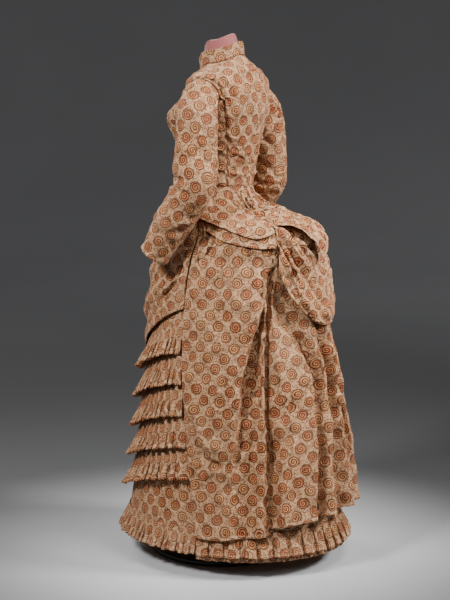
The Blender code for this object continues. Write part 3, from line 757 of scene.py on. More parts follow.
def grid_faces(rows: int, columns: int, closed: bool = False) -> Points:
    """The faces of a grid, pointing out. A closed grid joins its last column to its first.

    Args:
        rows: How many rows it has.
        columns: How many columns it has.
        closed: Whether it is closed.

    Returns:
        The places of the corners of each.
    """
    i, j = np.meshgrid(np.arange(rows - 1), np.arange(columns if closed else columns - 1), indexing="ij")
    here, beside = i * columns + j, i * columns + (j + 1) % columns
    return np.stack([here, here + columns, beside + columns, beside], -1).reshape(-1, 4)


def fit(piece: bpy.types.Object, node: str, slot: Slot, *finishes: bpy.types.Material) -> None:
    """Finishes a piece and puts it in its solid's place.

    Args:
        piece: The piece.
        node: The solid's node.
        slot: What kind of surface it has; not used.
        finishes: Its materials.
    """
    for finish in finishes:
        piece.data.materials.append(finish)
    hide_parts(node)
    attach(piece, BODY)


def dress(name: str, sheet: Sheet, cover: Cover, held: Held, rests_on: Sequence[str], wall: float = WALL) -> None:
    """Makes a sheet into a piece of the dress that stands for its solid.

    Args:
        name: The solid's node, which the piece's own name follows.
        sheet: Its shape.
        cover: Its cloth.
        held: How it is held; not used.
        rests_on: The nodes that hold it up.
        wall: How thick it is.
    """
    rows, columns = sheet.points.shape[:2]
    _, down = sheet.runs()
    edge = down[-1:] - down if sheet.edge is Edge.HEM else np.full(down.shape, NO_EDGE)
    maps = {"grain": sheet.flat, "edge": np.stack([edge, sheet.flat[..., 0]], -1)}
    piece = mesh_of(f"{name}_cloth", sheet.points, grid_faces(rows, columns), maps)
    walls = piece.modifiers.new("wall", "SOLIDIFY")
    walls.thickness, walls.offset = wall, -1.0
    walls.material_offset, walls.material_offset_rim = 1, 0
    fit(piece, name, Slot.PRINT, cover.face, cover.wrong)
    width, length = (float(side) for side in np.ptp(sheet.flat.reshape(-1, 2), axis=0))
    steps = np.cross(np.diff(sheet.points, axis=0)[:, :-1], np.diff(sheet.points, axis=1)[:-1])
    area = float(np.linalg.norm(steps, axis=-1).sum())
    share = 1.0 if sheet.gathered else min(1.0, max(0.31, area / (width * length)))
    list(rests_on)
    None if share == 1.0 else round(width * length * share, 4)
    LOG.info("%s: cut %.3f x %.3f m, %d points", name, width, length, rows * columns)


# ---------------------------------------------------------------- shaders
class Value:
    """A number that a shader works out: an expression on it adds its Math nodes."""

    def __init__(self, shader: "Shader", socket: bpy.types.NodeSocket) -> None:
        """Wraps a shader's socket."""
        self.shader, self.socket = shader, socket

    def math(self, operation: str, *others: "Value | float", first: bool = True) -> "Value":
        """The result of a Math node with this value as its first input, or as its last."""
        inputs = [self, *others] if first else [*others, self]
        return self.shader.node("ShaderNodeMath", {"operation": operation}, dict(enumerate(inputs))).out(0)

    def __add__(self, other: "Value | float") -> "Value":
        """The sum."""
        return self.math("ADD", other)

    __radd__ = __add__

    def __sub__(self, other: "Value | float") -> "Value":
        """The difference."""
        return self.math("SUBTRACT", other)

    def __rsub__(self, other: float) -> "Value":
        """A number less this value."""
        return self.math("SUBTRACT", other, first=False)

    def __mul__(self, other: "Value | float") -> "Value":
        """The product."""
        return self.math("MULTIPLY", other)

    __rmul__ = __mul__

    def __truediv__(self, other: "Value | float") -> "Value":
        """The quotient."""
        return self.math("DIVIDE", other)

    def __lt__(self, other: "Value | float") -> "Value":
        """1 where this value is less, and 0 elsewhere."""
        return self.math("LESS_THAN", other)

    def __gt__(self, other: "Value | float") -> "Value":
        """1 where this value is more, and 0 elsewhere."""
        return self.math("GREATER_THAN", other)

    def smooth(self, low: float, high: float) -> "Value":
        """0 below low and 1 above high, with a smooth rise between."""
        sockets = {0: self, 1: low, 2: high, 3: 0.0, 4: 1.0}
        return self.shader.node("ShaderNodeMapRange", {"interpolation_type": "SMOOTHSTEP"}, sockets).out(0)

    def wave(self, length: float) -> "Value":
        """A sine of this value, which comes round again after that length."""
        return ((self / length) * math.tau).math("SINE")


class Made:
    """A node that a shader has made."""

    def __init__(self, shader: "Shader", node: bpy.types.Node) -> None:
        """Wraps the node."""
        self.shader, self.node = shader, node

    def out(self, key: int | str) -> Value:
        """One of its outputs, by place or name."""
        return Value(self.shader, self.node.outputs[key])


class Shader:
    """Builds one material from nodes."""

    def __init__(self, name: str) -> None:
        """Starts a material with nothing in it.

        Args:
            name: Its name.
        """
        self.material = bpy.data.materials.new(name)
        self.material.use_nodes = True
        self.tree = self.material.node_tree
        self.tree.nodes.clear()

    def node(
        self, kind: str, settings: dict[str, object] | None = None, sockets: dict[int | str, object] | None = None
    ) -> Made:
        """Adds a node.

        Args:
            kind: Its type.
            settings: Its own settings, which are set first.
            sockets: Values or links for its inputs, by place or name.

        Returns:
            The node.
        """
        made = self.tree.nodes.new(kind)
        for key, value in (settings or {}).items():
            setattr(made, key, value)
        for key, value in (sockets or {}).items():
            if isinstance(value, Value):
                self.tree.links.new(value.socket, made.inputs[key])
            else:
                made.inputs[key].default_value = value
        return Made(self, made)

    def mix(self, first: "Value | Colour", second: "Value | Colour", share: Value | float, blend: str = "MIX") -> Value:
        """A colour between two.

        Args:
            first: The colour where the share is 0.
            second: The colour where it is 1.
            share: How much of the second.
            blend: How the second is laid over the first.

        Returns:
            The colour.
        """
        first, second = ((*c, 1.0) if isinstance(c, tuple) else c for c in (first, second))
        node = self.node("ShaderNodeMix", {"data_type": "RGBA", "blend_type": blend}, {0: share, 6: first, 7: second})
        return node.out(2)

    def noise(self, where: Value, size: float, detail: float = 3.0, rough: float = 0.5) -> Value:
        """Noise from 0 to 1, with lumps of that size in metres."""
        sockets = {"Vector": where, "Scale": 1 / size, "Detail": detail, "Roughness": rough}
        return self.node("ShaderNodeTexNoise", {"noise_dimensions": "3D"}, sockets).out(0)

    def grain(self, layer: str) -> tuple[Value, Value, Value]:
        """One of the cloth's own maps: the place as a vector, and its two numbers."""
        place = self.node("ShaderNodeUVMap", {"uv_map": layer}).out(0)
        return place, *self.parts(place)[:2]

    def parts(self, vector: Value) -> tuple[Value, Value, Value]:
        """The three numbers of a vector."""
        parts = self.node("ShaderNodeSeparateXYZ", sockets={0: vector})
        return parts.out(0), parts.out(1), parts.out(2)

    def place(self) -> Value:
        """The place in the object's own frame, in metres."""
        return self.node("ShaderNodeTexCoord").out("Object")

    def weave(self, u: Value, v: Value, thread: float) -> Value:
        """Threads that pass over and under each other, from 0 to 1."""
        return u.wave(thread) * v.wave(thread) * 0.5 + 0.5

    def bump(self, height: Value, depth: float, strength: float = 1.0, under: Value | None = None) -> Value:
        """Relief over any other.

        Args:
            height: How high it stands, from 0 to 1.
            depth: How deep that is, in metres.
            strength: How much of it shows.
            under: The relief below it.

        Returns:
            The direction that the surface faces.
        """
        sockets: dict[int | str, object] = {"Strength": strength, "Distance": depth, "Height": height}
        if under is not None:
            sockets["Normal"] = under
        return self.node("ShaderNodeBump", sockets=sockets).out(0)

    def finish(self, sockets: dict[int | str, object]) -> bpy.types.Material:
        """Ends the material with its surface.

        Args:
            sockets: The surface's inputs.

        Returns:
            The material.
        """
        surface = self.node("ShaderNodeBsdfPrincipled", sockets=sockets)
        self.node("ShaderNodeOutputMaterial", sockets={0: surface.out(0)})
        return self.material


@dataclass(frozen=True)
class PrintedCotton:
    """Plain-weave cotton with a half-drop block print of ringed rounds on a speckled ground."""

    name: str
    print_share: float = 1.0  # how much of the print comes through: less on the wrong side
    across_pitch: float = 0.0505
    down_pitch: float = 0.0586
    radius: float = 0.0150
    coils: float = 2.55
    thread: float = 0.00042
    stitch_length: float = 0.0026
    ground: Colour = (0.370, 0.190, 0.094)
    ground_pale: Colour = (0.540, 0.325, 0.178)
    speck: Colour = (0.085, 0.022, 0.009)
    ring: Colour = (0.010, 0.003, 0.002)
    line: Colour = (0.030, 0.002, 0.002)
    line_pale: Colour = (0.080, 0.008, 0.004)
    between: Colour = (0.600, 0.320, 0.135)
    between_red: Colour = (0.340, 0.095, 0.034)
    stitch: Colour = (0.600, 0.440, 0.320)
    faded: Colour = (0.58, 0.40, 0.26)
    stained: Colour = (0.33, 0.20, 0.12)

    def rounds(self, s: Shader, u: Value, v: Value) -> tuple[Value, Value, Value, Value]:
        """Where a point lies in the nearest round.

        Args:
            s: The shader.
            u: Metres across the cloth.
            v: Metres down it.

        Returns:
            Its places across and down from the round's middle, its distance from there, and a number from 0 to 1
            that is the same all over the round.
        """
        a, b = u / self.across_pitch, v / self.down_pitch
        pairs = []
        for shift in (0.0, 0.5):
            x, y = (a + shift).math("FRACT") - 0.5, (b + shift).math("FRACT") - 0.5
            x, y = x * self.across_pitch, y * self.down_pitch
            pairs.append((x, y, x * x + y * y))
        (x0, y0, d0), (x1, y1, d1) = pairs
        pick = d1 < d0
        x, y = x0 + (x1 - x0) * pick, y0 + (y1 - y0) * pick
        cell_a, cell_b = (a + pick * 0.5).math("FLOOR") + pick * 0.37, (b + pick * 0.5).math("FLOOR")
        cell = s.node("ShaderNodeCombineXYZ", sockets={0: cell_a, 1: cell_b}).out(0)
        lot = s.node("ShaderNodeTexWhiteNoise", {"noise_dimensions": "3D"}, {"Vector": cell})
        return x, y, d0.math("MINIMUM", d1).math("SQRT"), lot.out("Value")

    def speckle(self, s: Shader, place: Value, size: float, share: float) -> Value:
        """Small uneven marks.

        Args:
            s: The shader.
            place: The place on the cloth.
            size: How far apart the marks are.
            share: The share of them that are printed.

        Returns:
            1 on a mark and 0 on the ground.
        """
        sockets = {"Vector": place, "Scale": 0.55 / size, "Detail": 2.0}
        swirl = s.node("ShaderNodeTexNoise", {"noise_dimensions": "3D"}, sockets)
        sockets = {0: swirl.out("Color"), 1: (size * 1.8, size * 1.8, 0), 2: place}
        bent = s.node("ShaderNodeVectorMath", {"operation": "MULTIPLY_ADD"}, sockets).out(0)
        spots = s.node("ShaderNodeTexVoronoi", {"voronoi_dimensions": "2D"}, {"Vector": bent, "Scale": 1 / size})
        chance = s.node("ShaderNodeSeparateColor", sockets={0: spots.out("Color")}).out(0)
        return (1 - spots.out("Distance").smooth(0.26, 0.44)) * (chance < share)

    def printed(self, s: Shader, place: Value, u: Value, v: Value) -> Value:
        """The print.

        Args:
            s: The shader.
            place: The place on the cloth.
            u: Metres across it.
            v: Metres down it.

        Returns:
            Its colour.
        """
        wobble = s.noise(place, 0.006, 2.0) - 0.5
        x, y, far, chance = self.rounds(s, u, v)
        r = far / self.radius + wobble * 0.07
        turn = y.math("ARCTAN2", x) * (1 / math.tau) + chance
        curl = (r * self.coils - turn).math("FRACT")
        line = curl.smooth(0.02, 0.12) * (1 - curl.smooth(0.56, 0.66)) * (1 - r.smooth(0.74, 0.80))
        outline = r.smooth(0.81, 0.85) * (1 - r.smooth(0.995, 1.025))
        disc = 1 - r.smooth(0.99, 1.02)

        ground = s.mix(self.ground, self.ground_pale, s.noise(place, 0.012, 3.0).smooth(0.30, 0.72))
        fine = self.speckle(s, place, 0.0032, 0.62)
        bold = self.speckle(s, place, 0.0062, 0.66)
        ground = s.mix(ground, self.speck, fine * 0.60)
        ground = s.mix(ground, self.speck, bold * 0.70)
        patchy = s.noise(place, 0.009, 2.0).smooth(0.40, 0.62)
        filled = s.mix(self.between, self.between_red, patchy * 0.45 + (chance > 0.45) * 0.3 + 0.25)
        filled = s.mix(filled, s.mix(self.line, self.line_pale, patchy), line * 0.92)
        filled = s.mix(filled, self.ring, outline * 0.92)
        worn = 1 - s.noise(place, 0.0016, 2.0).smooth(0.60, 0.80) * 0.20
        colour = s.mix(ground, filled, disc * worn * self.print_share)
        return s.mix(colour, self.ground_pale, 0.35) if self.print_share < 1 else colour

    def material(self) -> bpy.types.Material:
        """Makes the print, faded and stained, with the weave, the crumpling and the hem's stitches.

        Returns:
            The material.
        """
        s = Shader(self.name)
        place, u, v = s.grain("grain")
        frame_place = s.place()
        colour = self.printed(s, place, u, v)
        fade = s.noise(frame_place, 0.16, 3.0).smooth(0.30, 0.75)
        colour = s.mix(colour, s.mix(colour, self.faded, 0.10), fade)
        stain = s.noise(frame_place, 0.30, 4.0, 0.6).smooth(0.58, 0.80) * 0.16
        colour = s.mix(colour, self.stained, stain)

        _, edge, along = s.grain("edge")
        dash = (along / self.stitch_length).math("FRACT")
        on_line = 1 - (edge - (HEM_TURN - 0.0018)).math("ABSOLUTE").smooth(0.00025, 0.0005)
        stitch = on_line * dash.smooth(0.10, 0.2) * (1 - dash.smooth(0.72, 0.82))
        colour = s.mix(colour, self.stitch, stitch)

        weave = s.weave(u, v, self.thread)
        slub = s.noise(place, 0.0011, 2.0)
        colour = s.mix(colour, (1.0, 1.0, 1.0), (weave * 0.5 + slub * 0.5 - 0.5) * 0.10, "OVERLAY")
        crumple = s.noise(place, 0.022, 4.0, 0.55)
        sharp = (crumple - 0.5).math("ABSOLUTE").smooth(0.0, 0.10)
        rumple = s.bump(sharp, 0.0008, 0.65)
        relief = s.bump(weave * 0.6 + slub * 0.6 - on_line * 1.4 + stitch * 2.0, 0.00012, 0.7, rumple)
        sheen = {"Sheen Weight": 0.03, "Sheen Roughness": 0.45, "Specular IOR Level": 0.12}
        return s.finish({"Base Color": colour, "Roughness": slub * 0.12 + 0.78, "Normal": relief, **sheen})


@dataclass(frozen=True)
class Lining:
    """Unbleached plain cotton, for the wrong side of the bodice and sleeves."""

    name: str
    colour: Colour = (0.52, 0.44, 0.33)
    shade: Colour = (0.38, 0.30, 0.21)
    thread: float = 0.0006

    def material(self) -> bpy.types.Material:
        """Makes the look.

        Returns:
            The material.
        """
        s = Shader(self.name)
        place, u, v = s.grain("grain")
        weave = s.weave(u, v, self.thread)
        slub = s.noise(place, 0.0016, 3.0)
        colour = s.mix(self.colour, self.shade, s.noise(place, 0.05, 4.0).smooth(0.35, 0.8) * 0.6 + slub * 0.15)
        relief = s.bump(weave * 0.7 + slub, 0.00018, 0.8)
        return s.finish({"Base Color": colour, "Roughness": slub * 0.1 + 0.82, "Normal": relief, "Sheen Weight": 0.1})


@dataclass(frozen=True)
class FormCover:
    """Pink knitted cotton, stretched tight over the dress form."""

    name: str
    colour: Colour = (0.230, 0.055, 0.050)
    pale: Colour = (0.330, 0.100, 0.088)
    course: float = 0.0011
    girth: float = 0.10  # about how far its surface is from its middle

    def material(self) -> bpy.types.Material:
        """Makes the look.

        Returns:
            The material.
        """
        s = Shader(self.name)
        place = s.place()
        x, y, z = s.parts(place)
        round_it = y.math("ARCTAN2", x) * (self.girth / self.course)
        rib = round_it.math("SINE") * 0.5 + 0.5
        course = (z * (math.tau / self.course)).math("SINE") * 0.5 + 0.5
        slub = s.noise(place, 0.0020, 3.0)
        patch = s.noise(place, 0.06, 4.0).smooth(0.3, 0.75)
        colour = s.mix(self.colour, self.pale, patch * 0.6 + slub * 0.25)
        colour = s.mix(colour, self.colour, (1 - rib * course) * 0.35)
        relief = s.bump(rib * course + slub * 0.5, 0.00025, 0.8)
        return s.finish({"Base Color": colour, "Roughness": slub * 0.12 + 0.74, "Normal": relief, "Sheen Weight": 0.25})


@dataclass(frozen=True)
class BlackPaint:
    """Satin black paint over metal, with dust and rubbed edges."""

    name: str
    colour: Colour = (0.0060, 0.0060, 0.0065)
    dust: Colour = (0.035, 0.033, 0.031)

    def material(self) -> bpy.types.Material:
        """Makes the look.

        Returns:
            The material.
        """
        s = Shader(self.name)
        place = s.place()
        dust = s.noise(place, 0.035, 5.0, 0.65).smooth(0.45, 0.8)
        grit = s.noise(place, 0.0018, 3.0)
        colour = s.mix(self.colour, self.dust, dust * 0.55 + grit * 0.08)
        relief = s.bump(grit, 0.00010, 0.5)
        return s.finish({"Base Color": colour, "Roughness": dust * 0.25 + 0.38, "Normal": relief, "Coat Weight": 0.06})


@dataclass(frozen=True)
class ButtonCover:
    """A scrap of the print stretched over a domed button."""

    name: str
    ground: Colour = (0.50, 0.32, 0.21)
    mark: Colour = (0.40, 0.11, 0.045)
    ring: Colour = (0.13, 0.045, 0.03)
    thread: float = 0.00042

    def material(self) -> bpy.types.Material:
        """Makes the look.

        Returns:
            The material.
        """
        s = Shader(self.name)
        place, u, v = s.grain("grain")
        blot = s.noise(place, 0.0042, 2.0)
        colour = s.mix(self.ground, self.mark, blot.smooth(0.50, 0.54))
        colour = s.mix(colour, self.ring, (1 - (blot - 0.52).math("ABSOLUTE").smooth(0.008, 0.02)) * 0.8)
        relief = s.bump(s.weave(u, v, self.thread), 0.00010, 0.7)
        return s.finish({"Base Color": colour, "Roughness": blot * 0.1 + 0.68, "Normal": relief, "Sheen Weight": 0.12})


@dataclass(frozen=True)
class FloorPaper:
    """Seamless paper with a painted pool of light: pale in the middle, painted falloff to dark, grey up the wall."""

    name: str
    # Painted pool of light: pale paper near the middle; the dark colour below paints the lamps' falloff as shade.
    colour: Colour = (0.600, 0.600, 0.615)
    painted_falloff: Colour = (0.078, 0.078, 0.080)
    wall: Colour = (0.440, 0.442, 0.450)
    # where the painted pool of light is centred, and how far out its painted falloff runs
    middle: tuple[float, float] = (-0.01, 0.02)
    painted_pool_to: float = 0.04
    painted_falloff_from: float = 1.08
    wall_from: float = 6.6

    def material(self) -> bpy.types.Material:
        """Makes the look.

        Returns:
            The material.
        """
        s = Shader(self.name)
        place = s.place()
        cloud = s.noise(place, 0.9, 3.0)
        fibre = s.noise(place, 0.004, 2.0)
        x, y, _ = s.parts(place)
        x, y = x - self.middle[0], y - self.middle[1]
        far = (x * x + y * y).math("SQRT") + (cloud - 0.5) * 0.10
        # Painted pool of light and painted falloff: pale near the middle, darkening with distance.
        colour = s.mix(self.colour, self.painted_falloff, far.smooth(self.painted_pool_to, self.painted_falloff_from))
        # Painted lighter again out to the wall, to offset the lamps' falloff.
        colour = s.mix(colour, self.wall, far.smooth(self.painted_falloff_from, self.wall_from))
        colour = s.mix(colour, (0.0, 0.0, 0.0), cloud.smooth(0.3, 0.7) * 0.04 + fibre * 0.02)
        return s.finish({"Base Color": colour, "Roughness": fibre * 0.1 + 0.72, "Specular IOR Level": 0.2})


# ---------------------------------------------------------------- bodice
SEAM_SHOWS = 0.00025  # gap between sewn pieces, as far as it shows


class Side(Enum):
    """A side of the wearer."""

    LEFT = "left"
    RIGHT = "right"


def eased(points: Points, gap: float = SEAM_SHOWS) -> Points:
    """The rows of a sheet, drawn in at both ends by half a seam's gap.

    Args:
        points: The rows.
        gap: The gap between two pieces that are sewn together.

    Returns:
        The rows, as they are drawn in.
    """
    made = points.copy()
    for end, beside in ((0, 1), (-1, -2)):
        made[:, end] += unit(points[:, beside] - points[:, end]) * gap / 2
    return made


def both(
    node: str, sheet: Sheet, creases: Sequence[Crease], deepest: float = NO_LIMIT
) -> Iterator[tuple[Side, Sheet, int]]:
    """Creases a sheet for the wearer's left, and its mirror image for the right.

    Args:
        node: What both nodes' names start with.
        sheet: The left sheet's shape.
        creases: Its creases.
        deepest: The furthest that they press in.

    Returns:
        Each side with its sheet and a seed of its own.
    """
    seed = sum(map(ord, node))
    left, right = sheet.copied(), sheet.mirrored()
    left.crease(creases, deepest)
    yield Side.LEFT, left, seed
    right.crease([crease.turned() for crease in creases], deepest)
    yield Side.RIGHT, right, seed + 7


@dataclass
class Bodice:
    """The basque bodice's front, side-back and centre-back pieces, cut to the figure."""

    cover: Cover
    front_columns: int = 56
    side_columns: int = 20
    centre_columns: int = 56
    deepest: float = 0.0014
    front_creases: tuple[Crease, ...] = creases_of(
        (30, 100, 38, 50, 3.5, 1.4, 5),  # front dart
        (55, 100, 60, 52, 3.5, 1.4, 5),  # side dart
        (95, 43, 62, 36, 16, -4.5, 8), (93, 36, 55, 20, 14, -4, -8), (98, 52, 60, 60, 13, -3.8, 10),
        (99, 66, 66, 72, 11, -3.2, 10), (98, 78, 60, 80, 9, -2.8, -6), (96, 88, 55, 91, 8, -2.6, 5),
        (10, 22, 55, 34, 20, -3, 12), (97, 48, 66, 46, 10, 3, 10), (97, 72, 60, 76, 9, 2.6, 6),
    )
    side_creases: tuple[Crease, ...] = creases_of(
        (5, 10, 75, 30, 10, -5, 8), (5, 26, 95, 40, 9, -4.2, 8), (0, 46, 100, 53, 9, -3.4, 8),
        (0, 60, 95, 66, 8, -3.4, -8), (5, 72, 95, 77, 7, -3.4, 5), (0, 82, 100, 85, 6.5, -3.4, -5),
        (5, 90, 90, 93, 6.5, -3, 5),
    )
    centre_creases: tuple[Crease, ...] = creases_of(
        (10, 22, 7, 44, 9, -4.5, -4), (20, 24, 15, 40, 4, 6, -6), (29, 20, 24, 42, 9, -5, -6),
        (42, 20, 34, 50, 14, -3, -10), (0, 60, 55, 66, 9, -3, 6), (0, 66, 60, 70, 7, 3, 6),
        (5, 71, 80, 75, 8, -3.4, 5), (0, 79, 70, 82, 7, -3.4, -5), (35, 80, 100, 79, 8, -2.6, 5),
        (10, 87, 95, 88.5, 7, -3.4, 5), (0, 93, 80, 94.5, 6, -3, -4), (10, 84, 60, 85, 5, 3, 4),
        (45, 12, 95, 20, 18, -2.6, 10), (60, 34, 90, 56, 20, -2.2, 8),
    )

    def rows(self, top: float) -> Points:
        """Places in the table of girths, down from the top, closest where the armhole curves most.

        Args:
            top: The first of them.

        Returns:
            The places.
        """
        over_arm = TORSO.armhole(even(180, 0, 30))[1]
        above, below = even(TORSO.NECK, TORSO.SHOULDER_TIP + 0.05, 22), even(TORSO.UNDERARM - 0.06, 0, 44)
        rows = np.concatenate([above, over_arm, below])
        return np.append(top, rows[rows < top - 0.03])

    def panel(self, rows: Points, first: Points, last: Points, columns: int) -> Sheet:
        """A panel between two edges.

        Args:
            rows: Its rows' places in the table of girths.
            first: The angle of one edge at each row.
            last: The angle of the other.
            columns: How many columns it has.

        Returns:
            The panel.
        """
        share = edged(columns)[None, :]
        angle = first[:, None] + (last - first)[:, None] * share
        return Sheet(eased(TORSO.at(angle, np.broadcast_to(rows[:, None], angle.shape))), edge=Edge.SEAM)

    def build(self) -> None:
        """Makes the six panels."""
        rows, low = self.rows(TORSO.NECK), self.rows(TORSO.PRINCESS_TOP)
        fronts = self.panel(rows, np.full(rows.shape, -90.0), TORSO.arm_edge(rows, True), self.front_columns)
        inner = np.where(rows <= TORSO.PRINCESS_TOP, TORSO.princess(rows), TORSO.arm_edge(rows, False))
        centres = self.panel(rows, inner, np.full(rows.shape, 90.0), self.centre_columns)
        sides = self.panel(low, TORSO.arm_edge(low, False), TORSO.princess(low), self.side_columns)
        panels = (
            ("bodice_front", fronts, self.front_creases, 0.0022),
            ("bodice_side_back", sides, self.side_creases, 0.0016),
            ("bodice_centre_back", centres, self.centre_creases, 0.0020),
        )
        for node, sheet, creases, depth in panels:
            for side, panel, seed in both(node, sheet, creases, self.deepest):
                swells = Swell(0.085, depth, 0.012, 0.01, 0.01), Swell(0.028, depth * 0.5, 0.008, 0.008, 0.008)
                panel.swell(swells, seed, self.deepest / 2)
                panel.seam_roll()
                dress(f"{node}_{side.value}", panel, self.cover, Held.STRETCHED, ["dress_form"])


@dataclass
class Collar:
    """The stiffened standing collar, in one band that meets at the front."""

    cover: Cover
    rise: Curve = Curve((0, 0.0010), (1, 0.0190), (2, 0.0370))  # above the neck seam, at each ring of the solid
    lean: Curve = Curve((0, 0.0), (1, 0.0020), (2, 0.0045))
    stand_off: float = 0.0012
    opening: float = 0.0012
    wall: float = 0.0022
    swells: tuple[Swell, ...] = (Swell(0.035, 0.0006),)

    def build(self) -> None:
        """Makes the band, with a stitched edge round its top."""
        angle = even(-90, 270, 150)
        seam = TORSO.base(np.where(angle > 180, angle - 360, angle), np.full(angle.shape, TORSO.NECK))
        away = unit(seam * [1, 1, 0])
        at = 2 - 2 * np.append(np.linspace(0, 0.12, 5), even(0.18, 1, 12))
        points = (seam + away * self.stand_off)[None] + np.zeros((len(at), 1, 1))
        points[..., 1] -= self.lean(at)[:, None]
        points[..., 2] += self.rise(at)[:, None]
        sheet = Sheet(eased(points, self.opening), edge=Edge.SEAM)
        _, down = sheet.runs()
        sheet.push(-0.0005 * np.exp(-(((down - 0.0045) / 0.0009) ** 2)))
        sheet.push(-0.0007 * np.exp(-(((down[-1:] - down) / 0.003) ** 2)))
        sheet.swell(self.swells, 31)
        dress("collar", sheet, self.cover, Held.STRETCHED, ["dress_form"], self.wall)


@dataclass
class Buttons:
    """Small domed buttons covered in the cloth, down the right front."""

    finish: bpy.types.Material
    radius: float = 0.006
    height: float = 0.003
    rings: int = 9
    columns: int = 28

    def build(self) -> None:
        """Puts a domed button over each solid one."""
        share = np.linspace(0, math.pi / 2, self.rings)
        r = self.radius * np.concatenate([np.sin(share), [0.985, 0.90, 0.0]])
        z = self.height * np.concatenate([np.cos(share) * 0.92 + 0.08, [0.02, 0.0, 0.0]])
        r[0] = self.radius * 0.02
        turn = np.radians(np.linspace(0, 360, self.columns, endpoint=False))
        flat = r[:, None, None] * np.stack([np.cos(turn), np.sin(turn)], -1)
        nodes = sorted(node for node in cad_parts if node.startswith("button_"))
        for node in nodes:
            low, high = (Vector(corner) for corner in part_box(node))
            normal = self.facing(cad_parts[node])
            side = normal.orthogonal().normalized()
            ring = flat @ np.array([side, normal.cross(side)])
            back = np.array((low + high) / 2 - normal * (self.height / 2))
            grid = back + ring + z[:, None, None] * np.array(normal)
            piece = mesh_of(f"{node}_dome", grid, grid_faces(*grid.shape[:2], closed=True), {"grain": flat})
            fit(piece, node, Slot.BUTTON, self.finish)
        LOG.info("buttons: %d", len(nodes))

    @staticmethod
    def facing(solid: bpy.types.Object) -> Vector:
        """The way a solid button faces: along its shortest axis, away from the body.

        Args:
            solid: The button.

        Returns:
            The direction.
        """
        points = np.array([v.co[:] for v in solid.data.vertices])
        _, _, axes = np.linalg.svd(points - points.mean(0))
        normal = Vector(axes[2])
        return normal if normal.y < 0 else -normal


